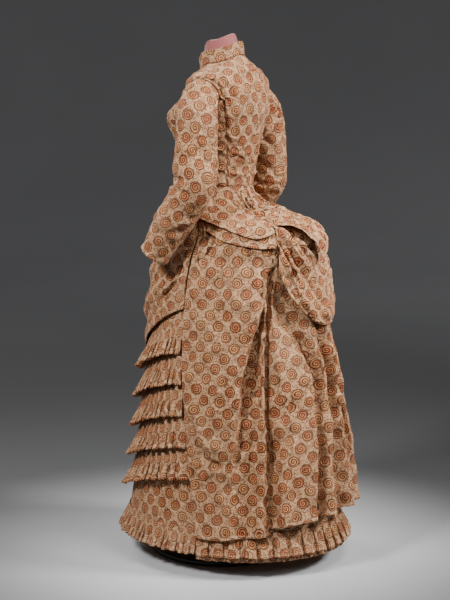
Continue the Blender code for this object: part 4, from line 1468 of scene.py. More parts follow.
@dataclass
class Sleeves:
    """Two-piece sleeves, full at the head, bent at the elbow and open at the cuff."""

    cover: Cover
    sections: tuple[Cuff, ...] = (
        Cuff(0.2070, 0.033, 1.215, 0.0550, 0.0590, 0.0),
        Cuff(0.2130, 0.034, 1.165, 0.0555, 0.0585, 2.0),
        Cuff(0.2190, 0.036, 1.115, 0.0555, 0.0590, 8.0),
        Cuff(0.2240, 0.031, 1.068, 0.0550, 0.0600, 20.0),
        Cuff(0.2270, 0.007, 1.020, 0.0530, 0.0570, 31.0),
        Cuff(0.2290, -0.027, 0.970, 0.0490, 0.0520, 34.0),
        Cuff(0.2300, -0.059, 0.922, 0.0445, 0.0470, 35.0),
        Cuff(0.2310, -0.087, 0.876, 0.0410, 0.0430, 35.0),
    )
    tuck: float = 1.035
    tuck_under: float = 0.0019
    swells: tuple[Swell, ...] = (Swell(0.10, 0.0024, 0.012, 0.03, 0.02), Swell(0.035, 0.0008, 0.008, 0.015, 0.012))
    upper_creases: tuple[Crease, ...] = creases_of(
        (30, 3, 34, 18, 10, 3), (45, 2, 46, 15, 9, 2.6), (60, 2, 58, 16, 9, 3), (74, 3, 70, 20, 10, 3.4),
        (86, 3, 84, 22, 9, -3.4), (2, 47, 50, 53, 16, 6, 10), (0, 55, 60, 58, 13, 6, 6), (2, 63, 45, 62, 12, 5, -8),
        (30, 66, 92, 74, 18, 4.5, 12), (35, 60, 96, 66, 14, 4.2, 10), (15, 80, 70, 76, 16, 3.4, 10),
        (40, 86, 85, 90, 12, 3.4, -10), (55, 30, 80, 44, 22, 3.6, 10), (35, 34, 70, 30, 18, -3, 10),
    )
    under_creases: tuple[Crease, ...] = creases_of(
        (98, 16, 45, 24, 14, 4.5, 10), (85, 30, 30, 38, 16, 4.5, 10), (95, 46, 30, 52, 13, 6, 10),
        (98, 53, 25, 55, 11, 6, -6), (95, 59, 35, 60, 11, 5, 6), (10, 62, 60, 72, 18, 4.5, -10),
        (6, 56, 50, 62, 12, -4, -10), (30, 84, 85, 80, 14, 3, 8),
    )

    def ring(self, at: Points, turn: Points) -> Points:
        """Points round the sleeve below its head.

        Args:
            at: Places in the table of sections.
            turn: Degrees round it, from the inner side by way of the front.

        Returns:
            The points.
        """
        x, y, z, across, deep, lean = (c(at) for c in columns_of(self.sections, range(len(self.sections))))
        c, s = np.cos(np.radians(turn)), np.sin(np.radians(turn))
        forward = np.radians(lean)
        return np.stack([x - across * c, y - np.cos(forward) * deep * s, z + np.sin(forward) * deep * s], -1)

    def head(self, t: Points, turn: Points) -> Points:
        """Points on the cap, from the armhole out and down to the first section.

        Args:
            t: 0 at the armhole and 1 at the first section.
            turn: Degrees round it.

        Returns:
            The points.
        """
        angle, row = TORSO.armhole(turn)
        start = TORSO.base(angle, row)
        first = self.ring(np.zeros(turn.shape), turn)
        high = (1 - np.cos(np.radians(turn))) / 2
        back = (turn % 360) > 180
        spread = -np.sin(np.radians(turn)) * np.where(back, 0.4, 0.1)
        leaving = unit(np.stack([np.ones(turn.shape), spread, -0.35 * high], -1))
        reach = np.linalg.norm(first - start, axis=-1)[..., None] * 1.15
        return hermite(t[..., None], start, leaving * reach, first, DOWN * reach)

    def half(self, first: float, last: float) -> Sheet:
        """One of the sleeve's two pieces.

        Args:
            first: Where it starts round the sleeve, in degrees.
            last: Where it ends.

        Returns:
            The piece.
        """
        turn = (first + (last - first) * edged(44))[None, :]
        t = np.linspace(0, 1, count(26) + 1)[:-1, None]
        at = (len(self.sections) - 1) * hemmed(0.46, 72)[:, None]
        cap = self.head(*np.broadcast_arrays(t, turn))
        arm = self.ring(*np.broadcast_arrays(at, turn))
        return Sheet(eased(np.concatenate([self.seam_tuck(turn), cap, arm]), SEAM_SHOWS * 2))

    def seam_tuck(self, turn: Points) -> Points:
        """The row of the seam's turning, just under the edge of the bodice.

        Args:
            turn: Angles round the armhole.

        Returns:
            Its points.
        """
        angle, row = TORSO.armhole(turn)
        middle = (TORSO.UNDERARM + TORSO.SHOULDER_TIP) / 2
        return TORSO.at(angle * self.tuck, middle + (row - middle) * self.tuck, -self.tuck_under)

    def build(self) -> None:
        """Makes both pieces of both sleeves."""
        halves = (
            ("sleeve_upper", self.half(90, 270), self.upper_creases),
            ("sleeve_under", self.half(270, 450), self.under_creases),
        )
        for node, sheet, creases in halves:
            for side, panel, seed in both(node, sheet, creases):
                panel.swell(self.swells, seed)
                panel.seam_roll()
                panel.turn_hem()
                bodice = [f"bodice_front_{side.value}", f"bodice_centre_back_{side.value}"]
                dress(f"{node}_{side.value}", panel, self.cover, Held.HUNG, bodice)


# ---------------------------------------------------------------- skirt
@dataclass
class Underskirt:
    """The foundation skirt, in four gores, seen between the ruffles and from below."""

    cover: Cover
    top: float = 1.070
    hem: float = 0.085
    gore: float = 90.0  # degrees that a gore spans
    swells: tuple[Swell, ...] = (Swell(0.16, 0.0011, 0.02, 0.05, 0.03),)

    def build(self) -> None:
        """Makes the four gores."""
        z = self.top + (self.hem - self.top) * hemmed(1.04, 52)[:, None]
        for name, middle in (("front", -90), ("left", 0), ("back", 90), ("right", 180)):
            angle = middle + self.gore * (edged(32)[None, :] - 0.5)
            sheet = Sheet(eased(SKIRT.at(angle, z, 0.0)))
            sheet.swell(self.swells, middle + 200)
            sheet.turn_hem()
            dress(f"underskirt_{name}", sheet, self.cover, Held.HUNG, ["dress_form"])


@dataclass
class FoldedPanel:
    """A panel hung in folds from the waist: its fold lines run down from its top to its hem."""

    top: float
    levels: tuple[float, ...]
    folds: tuple[Fold, ...]
    rows: int
    columns: int
    creases: tuple[Crease, ...]
    hem: float = 0.12
    swells: tuple[Swell, ...] = (Swell(0.20, 0.0030, 0.012, 0.05), Swell(0.055, 0.0021, 0.010, 0.02))

    def sheet(self) -> Sheet:
        """The panel with its main folds.

        Returns:
            The panel.
        """
        share = hemmed(self.top - self.hem, self.rows)
        hems = np.array([fold.hem for fold in self.folds])
        z = self.top + (hems[None, :] - self.top) * share[:, None]
        angle, out = np.zeros(z.shape), np.zeros(z.shape)
        for k, fold in enumerate(self.folds):
            angle[:, k] = Curve(*zip(self.levels, fold.angles))(z[:, k])
            out[:, k] = Curve(*zip(self.levels, fold.outs))(z[:, k])
        angle, z, out = (rounded(table, self.columns) for table in (angle, z, out))
        return Sheet(eased(SKIRT.at(angle, z, out)))

    def finish(self, name: str, sheet: Sheet, seed: int, cover: Cover, rests_on: str) -> None:
        """Gives the creased panel its swell and its hem.

        Args:
            name: Its node.
            sheet: Its shape.
            seed: Picks its swell.
            cover: Its cloth.
            rests_on: The node that it hangs on.
        """
        sheet.swell(self.swells, seed)
        sheet.turn_hem()
        dress(name, sheet, cover, Held.HUNG, [rests_on])


def side_panel() -> FoldedPanel:
    """The wide smooth panel at each side, with its swag, recess and narrow ridge behind.

    Returns:
        The wearer's left one.
    """
    return FoldedPanel(
        1.016,
        (1.020, 0.920, 0.854, 0.822, 0.760, 0.700, 0.600, 0.500, 0.380, 0.240, 0.110),
        (
            Fold(
                "front_edge",
                angles=(-12, -13, -13, -13, -12.6, -11.9, -10.2, -8, -4, 1, 4),
                outs=(2.2, 12, 16, 14.5, 11, 9.8, 10.4, 11.4, 12.6, 14, 15),
                hem=0.112,
            ),
            Fold(
                "front_flat",
                angles=(-3, -4, -4.6, -5, -5.1, -5.1, -4.5, -3.1, 0, 5, 8),
                outs=(2.2, 11, 14.5, 14.5, 14, 14.6, 16.3, 16.8, 17, 17, 17),
                hem=0.110,
            ),
            Fold(
                "side_flat",
                angles=(8, 8, 7.7, 7.1, 6, 4.9, 4.1, 5.2, 7.5, 11, 13),
                outs=(2.2, 9, 10.8, 12.7, 15.5, 18, 20.8, 22.3, 22.5, 21, 21),
                hem=0.108,
            ),
            Fold(
                "side_full",
                angles=(20, 20, 20, 19.8, 19, 17, 15, 14, 14.9, 17, 18),
                outs=(2.2, 10, 12.5, 14.8, 19, 23, 27, 28.4, 27.6, 24, 24),
                hem=0.108,
            ),
            Fold(
                "swag_ridge",
                angles=(36, 38, 40, 41.0, 39.8, 35.8, 30.5, 26.3, 24, 22, 22),
                outs=(2.2, 10, 16, 25, 37, 41, 41, 40, 36, 29, 28),
                hem=0.112,
            ),
            Fold(
                "recess_near",
                angles=(42, 41, 43, 41.6, 40.6, 37.6, 32.8, 28.8, 27.2, 25.8, 26),
                outs=(2.2, 9, 15.5, 23, 34, 8, 3, 4, 8, 15, 17),
                hem=0.114,
            ),
            Fold(
                "recess_far",
                angles=(45, 44, 45.2, 42.2, 41.2, 39.4, 37.6, 36.6, 34, 32, 32),
                outs=(2.2, 8.5, 15, 19, 32, 7, 3, 4, 8, 12, 15),
                hem=0.116,
            ),
            Fold(
                "narrow_ridge",
                angles=(47, 46, 47, 42.9, 42.1, 41.5, 40.6, 40.4, 39.8, 38.5, 37.5),
                outs=(2.2, 9, 14, 14, 29, 25, 27, 30, 32, 32, 32),
                hem=0.120,
            ),
            Fold(
                "dark_line",
                angles=(48, 48, 48.8, 43.9, 43.4, 43.1, 42.9, 43, 42.5, 42, 41.5),
                outs=(2.2, 8.5, 12, 3, 3, 3, 3.5, 4, 5, 6, 7),
                hem=0.123,
            ),
            Fold(
                "lap",
                angles=(49, 50, 50.6, 48.6, 48.2, 47.6, 46.8, 45.1, 43.7, 43, 42.5),
                outs=(2.2, 8, 9, 3, 3, 4, 6, 6, 5.5, 6, 7),
                hem=0.126,
            ),
        ),
        rows=184,
        columns=120,
        creases=creases_of(
            (13, 63, 20, 75, 17, 11, 3), (18, 73.8, 38, 77.2, 17, 11.5, 4), (20, 68.5, 36, 71.5, 20, -7, 10),
            (18, 81, 40, 80, 22, -6, -8), (3, 77, 16, 85, 13, 9, -6), (7, 74, 20, 84, 14, -5, -6),
            (2, 56, 9, 74, 22, 4.5, 5), (18, 3, 12, 19, 9.5, 12, -5), (8.5, 2, 3.5, 22, 12, -8, -4),
            (33, 9, 33.5, 17, 8, 4.5), (37.5, 9, 40, 23, 10, 6.5, 4), (42, 12, 40, 30, 12, -4.5, 4),
            (29, 10, 26, 30, 16, 5, 5), (24, 12, 20, 36, 20, -4, 5), (34.5, 18, 31, 40, 20, 5, 5),
            (47, 16, 40, 42, 16, 5, 6), (10, 28, 7, 50, 22, 4, 5), (27, 44, 22, 66, 30, 4.5, 5),
            (36, 50, 33, 68, 22, -4.5, 4), (56, 70, 40, 86, 26, 5.5, 8), (12, 50, 14, 70, 30, -3.5, 3),
            (62, 76, 50, 92, 18, -5, 4), (24, 86, 34, 95, 22, 4.5, -5), (70, 62, 68, 88, 14, 4.5, 3),
        ),
    )


def back_panel() -> FoldedPanel:
    """The back breadth, folded alike to both sides of its middle.

    Returns:
        The panel.
    """
    folds = (
        Fold(
            "lapped_edge",
            angles=(49, 46.6, 44.8, 44.4, 44.4, 44.2, 43.8, 42.4, 41.7, 41.2),
            outs=(2.5, 2.5, 3, 3, 2.5, 2.5, 2.8, 3, 4, 5),
            hem=0.138,
        ),
        Fold(
            "groove",
            angles=(51, 47.8, 45.8, 45.4, 45.6, 46, 46, 45.4, 45, 44.6),
            outs=(2.5, 2.5, 5, 13, 20, 20, 17, 9, 5, 6),
            hem=0.140,
        ),
        Fold(
            "first_ridge",
            angles=(53, 49.5, 46.9, 47.3, 49, 50, 50.3, 48.8, 48, 47.6),
            outs=(2.5, 2.5, 10, 22, 30, 32, 32, 38, 42, 44),
            hem=0.146,
        ),
        Fold(
            "first_flat",
            angles=(57, 51.5, 48.6, 50.4, 55.0, 57, 56.8, 55.5, 54.5, 54),
            outs=(2.5, 2.5, 3, 12, 23, 29, 31, 34, 38, 42),
            hem=0.150,
        ),
        Fold(
            "second_ridge",
            angles=(61, 54.5, 51.6, 53.4, 60.5, 65.5, 69, 67.4, 65.6, 65),
            outs=(3, 3, 3, 6, 20, 32, 41, 49, 54, 56),
            hem=0.156,
        ),
        Fold(
            "hollow",
            angles=(68, 60, 56, 59.5, 67.4, 72.4, 75.8, 73, 69.8, 68),
            outs=(3, 3, 3, 3.5, 5, 9, 16, 24, 20, 21),
            hem=0.160,
        ),
        Fold(
            "third_ridge",
            angles=(75, 74, 74, 75, 77, 79.4, 80.8, 78.2, 75.2, 74),
            outs=(3, 10, 14, 22, 33, 44, 50, 57, 63, 67),
            hem=0.164,
        ),
        Fold(
            "valley",
            angles=(82, 82, 82.5, 83, 84, 85, 85.4, 84.2, 83.2, 83),
            outs=(3, 5, 6, 9, 14, 18, 20, 24, 28, 32),
            hem=0.167,
        ),
        Fold(
            "middle_ridge",
            angles=(90, 90, 90, 90, 90, 90, 90, 90, 90, 90),
            outs=(3, 12, 22, 35, 48, 62, 58, 61, 66, 70),
            hem=0.169,
        ),
    )
    other = tuple(f._replace(angles=tuple(180 - a for a in f.angles)) for f in reversed(folds[:-1]))
    near = creases_of(
        (28, 20, 36, 52, 30, 8, 3), (10, 34, 20, 66, 22, -5, 3), (19, 50, 17, 84, 14, 5, 2),
        (24, 52, 26, 86, 18, -5, -2), (22, 66, 22, 96, 12, 4.5, 2), (29, 56, 28, 90, 14, 4.5, 4),
        (42, 55, 40, 86, 16, 5, 3),
    )
    return FoldedPanel(
        0.905,
        (0.905, 0.820, 0.765, 0.700, 0.640, 0.590, 0.520, 0.400, 0.240, 0.135),
        folds + other,
        rows=128,
        columns=204,
        creases=near + tuple(c.turned()._replace(down0=c.down0 + 0.03, depth=c.depth * 0.8) for c in near),
    )


@dataclass
class Panels:
    """The side panels and the back breadth."""

    cover: Cover

    def build(self) -> None:
        """Makes all three."""
        sides = side_panel()
        for side, sheet, seed in both("side_panel", sides.sheet(), sides.creases):
            sides.finish(f"side_panel_{side.value}", sheet, seed, self.cover, f"underskirt_{side.value}")
        back = back_panel()
        sheet = back.sheet()
        sheet.crease(back.creases)
        back.finish("back_panel", sheet, 77, self.cover, "underskirt_back")


def front_edge(z: Points) -> Points:
    """The angle of the side panels' front edge at some heights."""
    side = side_panel()
    return Curve(*zip(side.levels, side.folds[0].angles))(z)


# ---------------------------------------------------------------- gathered strips
STRIP = 1.9  # what a strip's whole length counts as, in metres, where its unevenness is drawn


def strip_rows(top: Sequence[float], middle: tuple[float, float, int], foot: Sequence[float]) -> Points:
    """Shares down a strip, as a column: where it is sewn on, then in even steps, then about its hem."""
    return np.concatenate([top, even(*middle), foot])[:, None]


def strip_columns(steps: int) -> Points:
    """Shares along a strip, as a row."""
    return even(0, 1, steps)[None, :]


def uneven(p: Points, size: float, seed: int) -> Points:
    """A number from about -1 to 1 that changes along a strip, with highs about that size apart."""
    return ripple(p * STRIP, p * 0, size, seed)


def gathering(p: Points, waves: int, knots: int, jitter: float, draw: np.random.Generator) -> Points:
    """How far round its waves a strip is, in radians. It slips by the jitter at each knot: no two waves are alike."""
    at = np.linspace(0, 1, knots)
    return 2 * np.pi * waves * Curve(*zip(at, at + draw.normal(0, jitter, knots)))(p)


def still_ends(p: Points) -> Points:
    """0 at both ends of a strip and 1 a little way in."""
    return np.clip(np.minimum(p, 1 - p) * 40, 0, 1)


def sideways(phase: Points, lean: Points, pinch: float) -> Points:
    """How far a pinched and leaning wave's cloth lies to one side, as a share of its width."""
    return pinch * np.sin(2 * phase + lean) + 0.06 * lean * np.cos(phase)


@dataclass
class Ruffles:
    """Gathered strips across the skirt's front, from side panel to side panel."""

    cover: Cover
    strips: int = 5
    hem_side: float = 0.610
    spacing: float = 0.087
    swag: float = 0.100
    depth: float = 0.088
    top_mm: float = 3.0
    header_mm: float = 0.4
    least_mm: float = 1.2
    flare_mm: float = 24.0
    end_flare: float = 0.45
    end: float = 14.0
    edge_gap: float = 0.5
    waves: int = 33
    wave_mm: float = 6.0
    size_varies: float = 0.38
    lean: float = 0.8
    hem_dips: float = 0.0022
    rows: int = 20
    columns: int = 364

    def sheet(self, k: int) -> Sheet:
        """One strip.

        Args:
            k: Its place, from the top.

        Returns:
            The strip.
        """
        low = self.hem_side - self.spacing * k
        v = strip_rows((0, 0.03, 0.06), (0.10, 0.86, self.rows - 8), (0.885, 0.90, 0.915, 0.95, 1.0))
        edge = front_edge(low + self.depth * (1 - v)) - self.edge_gap
        p = strip_columns(self.columns)
        draw = np.random.default_rng(500 + k)
        phase = gathering(p, self.waves, 30, 0.0075, draw) + 2 * np.pi * draw.uniform()
        size = 1 + self.size_varies * uneven(p, 0.11, 40 + k)
        lean = self.lean * uneven(p, 0.16, 60 + k)
        span = 180 + 2 * edge
        bite = ramp(v, 0.02, 0.75)
        angle = -180 - edge + span * p
        angle = angle + span / self.waves * bite * still_ends(p) * sideways(phase, lean, 0.155)
        share = np.clip(np.minimum((edge - angle), (angle + 180 + edge)) / self.end, 0, 1)
        flare = self.flare_mm * (self.end_flare + (1 - self.end_flare) * share)
        fine = 0.5 * np.sin(phase * 2.5 + lean * 2) * np.exp(-((v / 0.16) ** 2))
        wave = self.wave_mm * size * (0.10 + 0.90 * v**0.8) * np.cos(phase) * bite
        out = self.top_mm + flare * (0.25 * v + 0.75 * v**1.5) + wave + fine
        out = out + 1.4 * np.cos(phase * 3 + lean * 3) * bite * v
        header = np.where(v < 0.05, self.header_mm, 0.0)
        z = low - self.swag * np.sin(np.radians(angle)) ** 2 + self.depth * (1 - v)
        z = z + self.hem_dips * uneven(p, 0.07, 80 + k) * v
        return Sheet(SKIRT.at(angle, z, np.maximum(out + header, self.least_mm)), gathered=True)

    def build(self) -> None:
        """Makes every strip."""
        for k in range(self.strips):
            sheet = self.sheet(k)
            sheet.turn_hem()
            dress(f"ruffle_{k + 1}", sheet, self.cover, Held.GATHERED, ["underskirt_front"], THIN_WALL)


@dataclass
class HemFlounce:
    """The hem's flounce: finely gathered in front, in box pleats behind, over a narrow frill."""

    cover: Cover
    top: float = 0.128
    hem: float = 0.062
    edge: float = 5.0
    foot: tuple[float, ...] = (0.835, 0.86, 0.885, 0.94, 1.0)
    top_mm: float = 2.4
    gathers: int = 46
    gather_mm: float = 5.4
    gather_flare_mm: float = 16.0
    size_varies: float = 0.40
    lean: float = 0.8
    pleats: int = 22
    # Across one pleat: the share of its width, and how far it stands up there as a share of its rise.
    pleat: tuple[tuple[float, float], ...] = (
        (0.0, 0.0), (0.10, 0.0), (0.145, 0.05), (0.165, 0.35), (0.150, 0.80), (0.190, 0.98), (0.25, 1.0), (0.38, 1.04),
        (0.50, 1.05), (0.62, 1.04), (0.75, 1.0), (0.81, 0.98), (0.850, 0.80), (0.835, 0.35), (0.855, 0.05), (0.90, 0.0),
    )
    pleat_flare_mm: float = 12.0
    rise_top_mm: float = 1.4
    rise_hem_mm: float = 10.5
    frill_top: float = 0.092
    frill_hem: float = 0.048
    frill_waves: int = 58
    frill_mm: float = 2.2
    frill_top_mm: float = 2.0
    frill_flare_mm: float = 4.5

    def front(self) -> Sheet:
        """The gathered half.

        Returns:
            Its sheet.
        """
        v = strip_rows((0, 0.03, 0.07), (0.13, 0.80, 10), self.foot)
        p = strip_columns(430)
        phase = gathering(p, self.gathers, 36, 0.006, np.random.default_rng(610))
        lean = self.lean * uneven(p, 0.13, 611)
        size = 1 + self.size_varies * uneven(p, 0.09, 612)
        span = 180 + 2 * self.edge
        bite = ramp(v, 0.0, 0.6)
        angle = -180 - self.edge + span * p
        angle = angle + span / self.gathers * bite * still_ends(p) * sideways(phase, lean, 0.150)
        out = self.top_mm + self.gather_flare_mm * v**1.3 + self.gather_mm * size * v * np.cos(phase)
        out = out + 0.6 * np.cos(phase * 2 + lean) * (1 - v) + 0.9 * np.cos(phase * 3 + lean * 2) * bite * v
        z = self.top + (self.hem - self.top) * v + 0.0015 * uneven(p, 0.06, 613) * v
        return Sheet(eased(SKIRT.at(angle, z, np.maximum(out, 1.4))), gathered=True)

    def back(self) -> Sheet:
        """The half in box pleats, each with its edges turned under.

        Returns:
            Its sheet.
        """
        v = strip_rows((0, 0.04), (0.10, 0.80, 7), self.foot)
        width = (180 - 2 * self.edge) / self.pleats
        draw = np.random.default_rng(620)
        shares, rises = np.array(self.pleat).T
        inside = (shares > 0.05) & (shares < 0.95)
        angle, up = [], []
        for k in range(self.pleats):
            slip, high, narrow = draw.normal(0, 0.03), draw.uniform(0.8, 1.2), draw.uniform(0.94, 1.03)
            angle.append(self.edge + width * (k + 0.5 + (shares - 0.5) * narrow + slip * inside))
            up.append(rises * high)
        angle = self.finer(np.append(np.concatenate(angle), 180 - self.edge))
        up = self.finer(np.append(np.concatenate(up), 0.0))
        rise = self.rise_top_mm + (self.rise_hem_mm - self.rise_top_mm) * ramp(v, 0, 0.85)
        out = self.top_mm + self.pleat_flare_mm * v + up * rise
        sway = 1.1 * ripple(angle * 0.005, v * 0.06, 0.10, 621) * v
        z = self.top + (self.hem - self.top) * v + 0.0012 * ripple(angle * 0.005, v * 0, 0.05, 622) * v
        return Sheet(eased(SKIRT.at(angle + 0 * v, z, out + sway)), gathered=True)

    @staticmethod
    def finer(values: Points) -> Points:
        """Values with the middle of each two put in between them, as a row."""
        at = np.linspace(0, len(values) - 1, 2 * len(values) - 1)
        return np.interp(at, np.arange(len(values)), values)[None, :]

    def frill(self) -> Sheet:
        """The narrow frill under the box pleats.

        Returns:
            Its sheet.
        """
        v = np.array([0, 0.10, 0.25, 0.42, 0.58, 0.72, 0.76, 0.80, 0.90, 1.0])[:, None]
        p = strip_columns(420)
        phase = gathering(p, self.frill_waves, 36, 0.005, np.random.default_rng(630))
        span = 180 - 2 * self.edge
        pinch = 0.14 * np.sin(2 * phase) * ramp(v, 0, 0.5) * still_ends(p)
        angle = self.edge + span * p + span / self.frill_waves * pinch
        out = self.frill_top_mm + self.frill_flare_mm * v + self.frill_mm * v * np.cos(phase)
        out = out + 0.4 * np.cos(phase * 2 + 1)
        z = self.frill_top + (self.frill_hem - self.frill_top) * v + 0.001 * uneven(p, 0.05, 631) * v
        return Sheet(SKIRT.at(angle, z, np.maximum(out, 1.2)), gathered=True)

    def build(self) -> None:
        """Makes the two halves and the frill."""
        pieces = (
            ("flounce_front", self.front(), ["underskirt_front"]),
            ("flounce_back", self.back(), ["underskirt_back"]),
            ("hem_frill", self.frill(), ["underskirt_back"]),
        )
        for name, sheet, rests_on in pieces:
            sheet.turn_hem()
            dress(name, sheet, self.cover, Held.GATHERED, rests_on, THIN_WALL)


@dataclass
class Apron:
    """The draped front, swept up to the hips in swags."""

    cover: Cover
    edge_gap: float = 0.5
    top: float = 1.030
    hem_side: float = 0.735
    hem_front: float = 0.575
    fold_mm: float = 6.0
    folds: float = 4.0
    side: float = 25.0
    middle_out: Curve = Curve((0, 2.2), (0.15, 6.5), (0.40, 23), (0.55, 27), (0.8, 22), (1.0, 12))
    edge_out: Curve = Curve((0, 2.2), (0.2, 9), (0.37, 16), (0.6, 20), (0.72, 17), (0.92, 10.5), (1.0, 8.0))
    swells: tuple[Swell, ...] = (Swell(0.09, 0.0016, 0.02, 0.03), Swell(0.030, 0.0007, 0.012, 0.02))
    creases: tuple[Crease, ...] = creases_of(
        (99, 22, 95.5, 60, 11, -8, 2), (97.2, 38, 97.4, 58, 5, 8, 2), (96.6, 50, 95.2, 74, 8, 11, 2),
        (95.3, 72, 86.2, 83, 8, 12, -6), (93, 42, 82, 78, 18, -7.5, -10), (90, 24, 74, 58, 14, 6, -8),
        (84, 20, 68, 42, 16, -4, 8), (99, 74, 78, 92, 12, 4.6, 6), (80, 60, 66, 80, 16, 5, 5),
        (1, 24, 24, 38, 16, 4.2, -8), (1, 36, 28, 54, 16, 4.6, -8), (1, 50, 26, 66, 14, 4.4, -8),
        (1, 63, 30, 79, 14, 4.2, -8), (1, 77, 25, 90, 12, 4, -6), (42, 30, 66, 33, 26, 3.5, 5),
        (30, 62, 52, 64, 26, 3.5, 5), (55, 86, 74, 82, 20, 3, 5),
    )

    def sheet(self) -> Sheet:
        """The drape with its swags.

        Returns:
            Its sheet.
        """
        v = hemmed(0.42, 106)[:, None]
        edge = front_edge(self.top + (self.hem_side - self.top) * v) - self.edge_gap
        a = -180 - edge + (180 + 2 * edge) * strip_columns(164)
        hem = self.hem_side + (self.hem_front - self.hem_side) * np.sin(np.radians(a)) ** 2
        z = self.top + (hem - self.top) * v
        phase = 2 * np.pi * self.folds * (v + 0.018 * ripple(a * 0.004, v * 0.3, 0.30, 70))
        deep = 1 + 0.25 * ripple(a * 0.004, v * 0.4, 0.25, 71)
        fold = np.cos(phase) - 0.22 * np.cos(2 * phase + 0.9)
        swag = self.fold_mm * deep * fold * np.sin(np.pi * np.clip(v, 0, 1)) ** 0.5
        full, flat = self.middle_out(v) + swag, self.edge_out(v) + swag * 0.12
        share = np.clip(np.minimum(edge - a, a + 180 + edge) / self.side, 0, 1)
        sag = 0.004 * np.sin(phase + 0.6) * share * ramp(v, 0.05, 0.2) * ramp(1 - v, 0.0, 0.15)
        return Sheet(SKIRT.at(a, z + sag, np.maximum(flat + (full - flat) * share, 1.6)))

    def build(self) -> None:
        """Makes the apron."""
        sheet = self.sheet()
        sheet.crease(self.creases)
        sheet.swell(self.swells, 72)
        sheet.turn_hem()
        dress("apron", sheet, self.cover, Held.DRAPED, ["underskirt_front", "side_panel_left", "side_panel_right"])


@dataclass
class Puff:
    """The puffed drape over the bustle, tacked up at both hips, its lower edge rolled under."""

    cover: Cover
    top: float = 0.995
    edge_top: float = 49.5
    edge_low: float = 48.8
    tack: float = 0.856
    middle: float = 0.680
    fold_mm: float = 3.0
    folds: float = 3.0
    roundness: float = 0.70
    roll_mm: float = 18.0
    roll_up: float = 0.018
    middle_out: Curve = Curve((0, 4), (0.15, 8), (0.4, 17), (0.7, 31), (0.92, 45), (1, 43))
    edge_out: Curve = Curve((0, 4), (0.3, 8), (0.6, 21), (0.8, 31), (1.0, 34))
    swells: tuple[Swell, ...] = (Swell(0.10, 0.0022, 0.02, 0.03, 0.02), Swell(0.036, 0.0014, 0.012, 0.02, 0.02))
    creases: tuple[Crease, ...] = creases_of(
        (0, 24, 46, 55, 24, -14, 3), (6, 12, 60, 33, 26, 21, 3), (0, 42, 19, 68, 13, 11, 2),
        (3, 33, 32, 60, 10, 6, 2), (2, 4, 22, 40, 10, -6, 3), (8, 2, 28, 36, 8, 5, 3), (12, 2, 34, 38, 10, -6, 3),
        (10, 30, 36, 50, 7, 4, 3), (1, 56, 26, 86, 15, -9, 4), (22, 55, 50, 74, 20, 6, 6),
        (30, 76, 58, 90, 18, 5, 6), (10, 70, 30, 94, 10, 5, 5), (100, 26, 56, 56, 24, -13, -3),
        (94, 13, 52, 30, 24, 17, -3), (100, 45, 80, 70, 14, 10, -2), (98, 36, 70, 62, 10, 5.5, -2),
        (99, 58, 73, 86, 15, -8.5, -4), (78, 54, 52, 70, 20, 5.5, -6), (88, 72, 70, 93, 10, 4.5, -5),
        (60, 66, 44, 86, 22, -6, 5),
    )

    def sheet(self) -> Sheet:
        """The drape with its folds and its roll.

        Returns:
            Its sheet.
        """
        v = np.append(even(0, 1, 88), even(1, 1, 9))[:, None]
        turn = np.append(even(0, 0, 88), even(0, 1, 9))[:, None]
        edge = self.edge_top + (self.edge_low - self.edge_top) * v
        a = edge + (180 - 2 * edge) * strip_columns(132)
        full = np.maximum(0.0, np.sin(np.pi * (a - edge) / (180 - 2 * edge))) ** self.roundness
        low = self.tack + (self.middle - self.tack) * full
        z = self.top + (low - self.top) * v
        phase = 2 * np.pi * self.folds * (v + 0.02 * ripple(a * 0.005, v * 0.3, 0.25, 90))
        deep = 1 + 0.3 * ripple(a * 0.005, v * 0.4, 0.20, 91)
        fold = np.cos(phase) - 0.2 * np.cos(2 * phase + 0.8)
        swag = self.fold_mm * deep * fold * np.sin(np.pi * v)
        flat = self.edge_out(v)
        out = flat + (self.middle_out(v) + swag - flat) * full
        bend = np.sin(turn * np.pi * 0.75)
        out = out - (self.roll_mm * (1 - np.cos(turn * np.pi)) / 2 - 3.0 * bend) * full
        z = z + self.roll_up * (turn**2 - 0.45 * bend)
        return Sheet(SKIRT.at(a, z, np.maximum(out, 2.0)), edge=Edge.SEAM)

    def build(self) -> None:
        """Makes the puff."""
        sheet = self.sheet()
        sheet.crease(self.creases)
        sheet.swell(self.swells, 92)
        dress("puff", sheet, self.cover, Held.DRAPED, ["underskirt_back", "back_panel"])


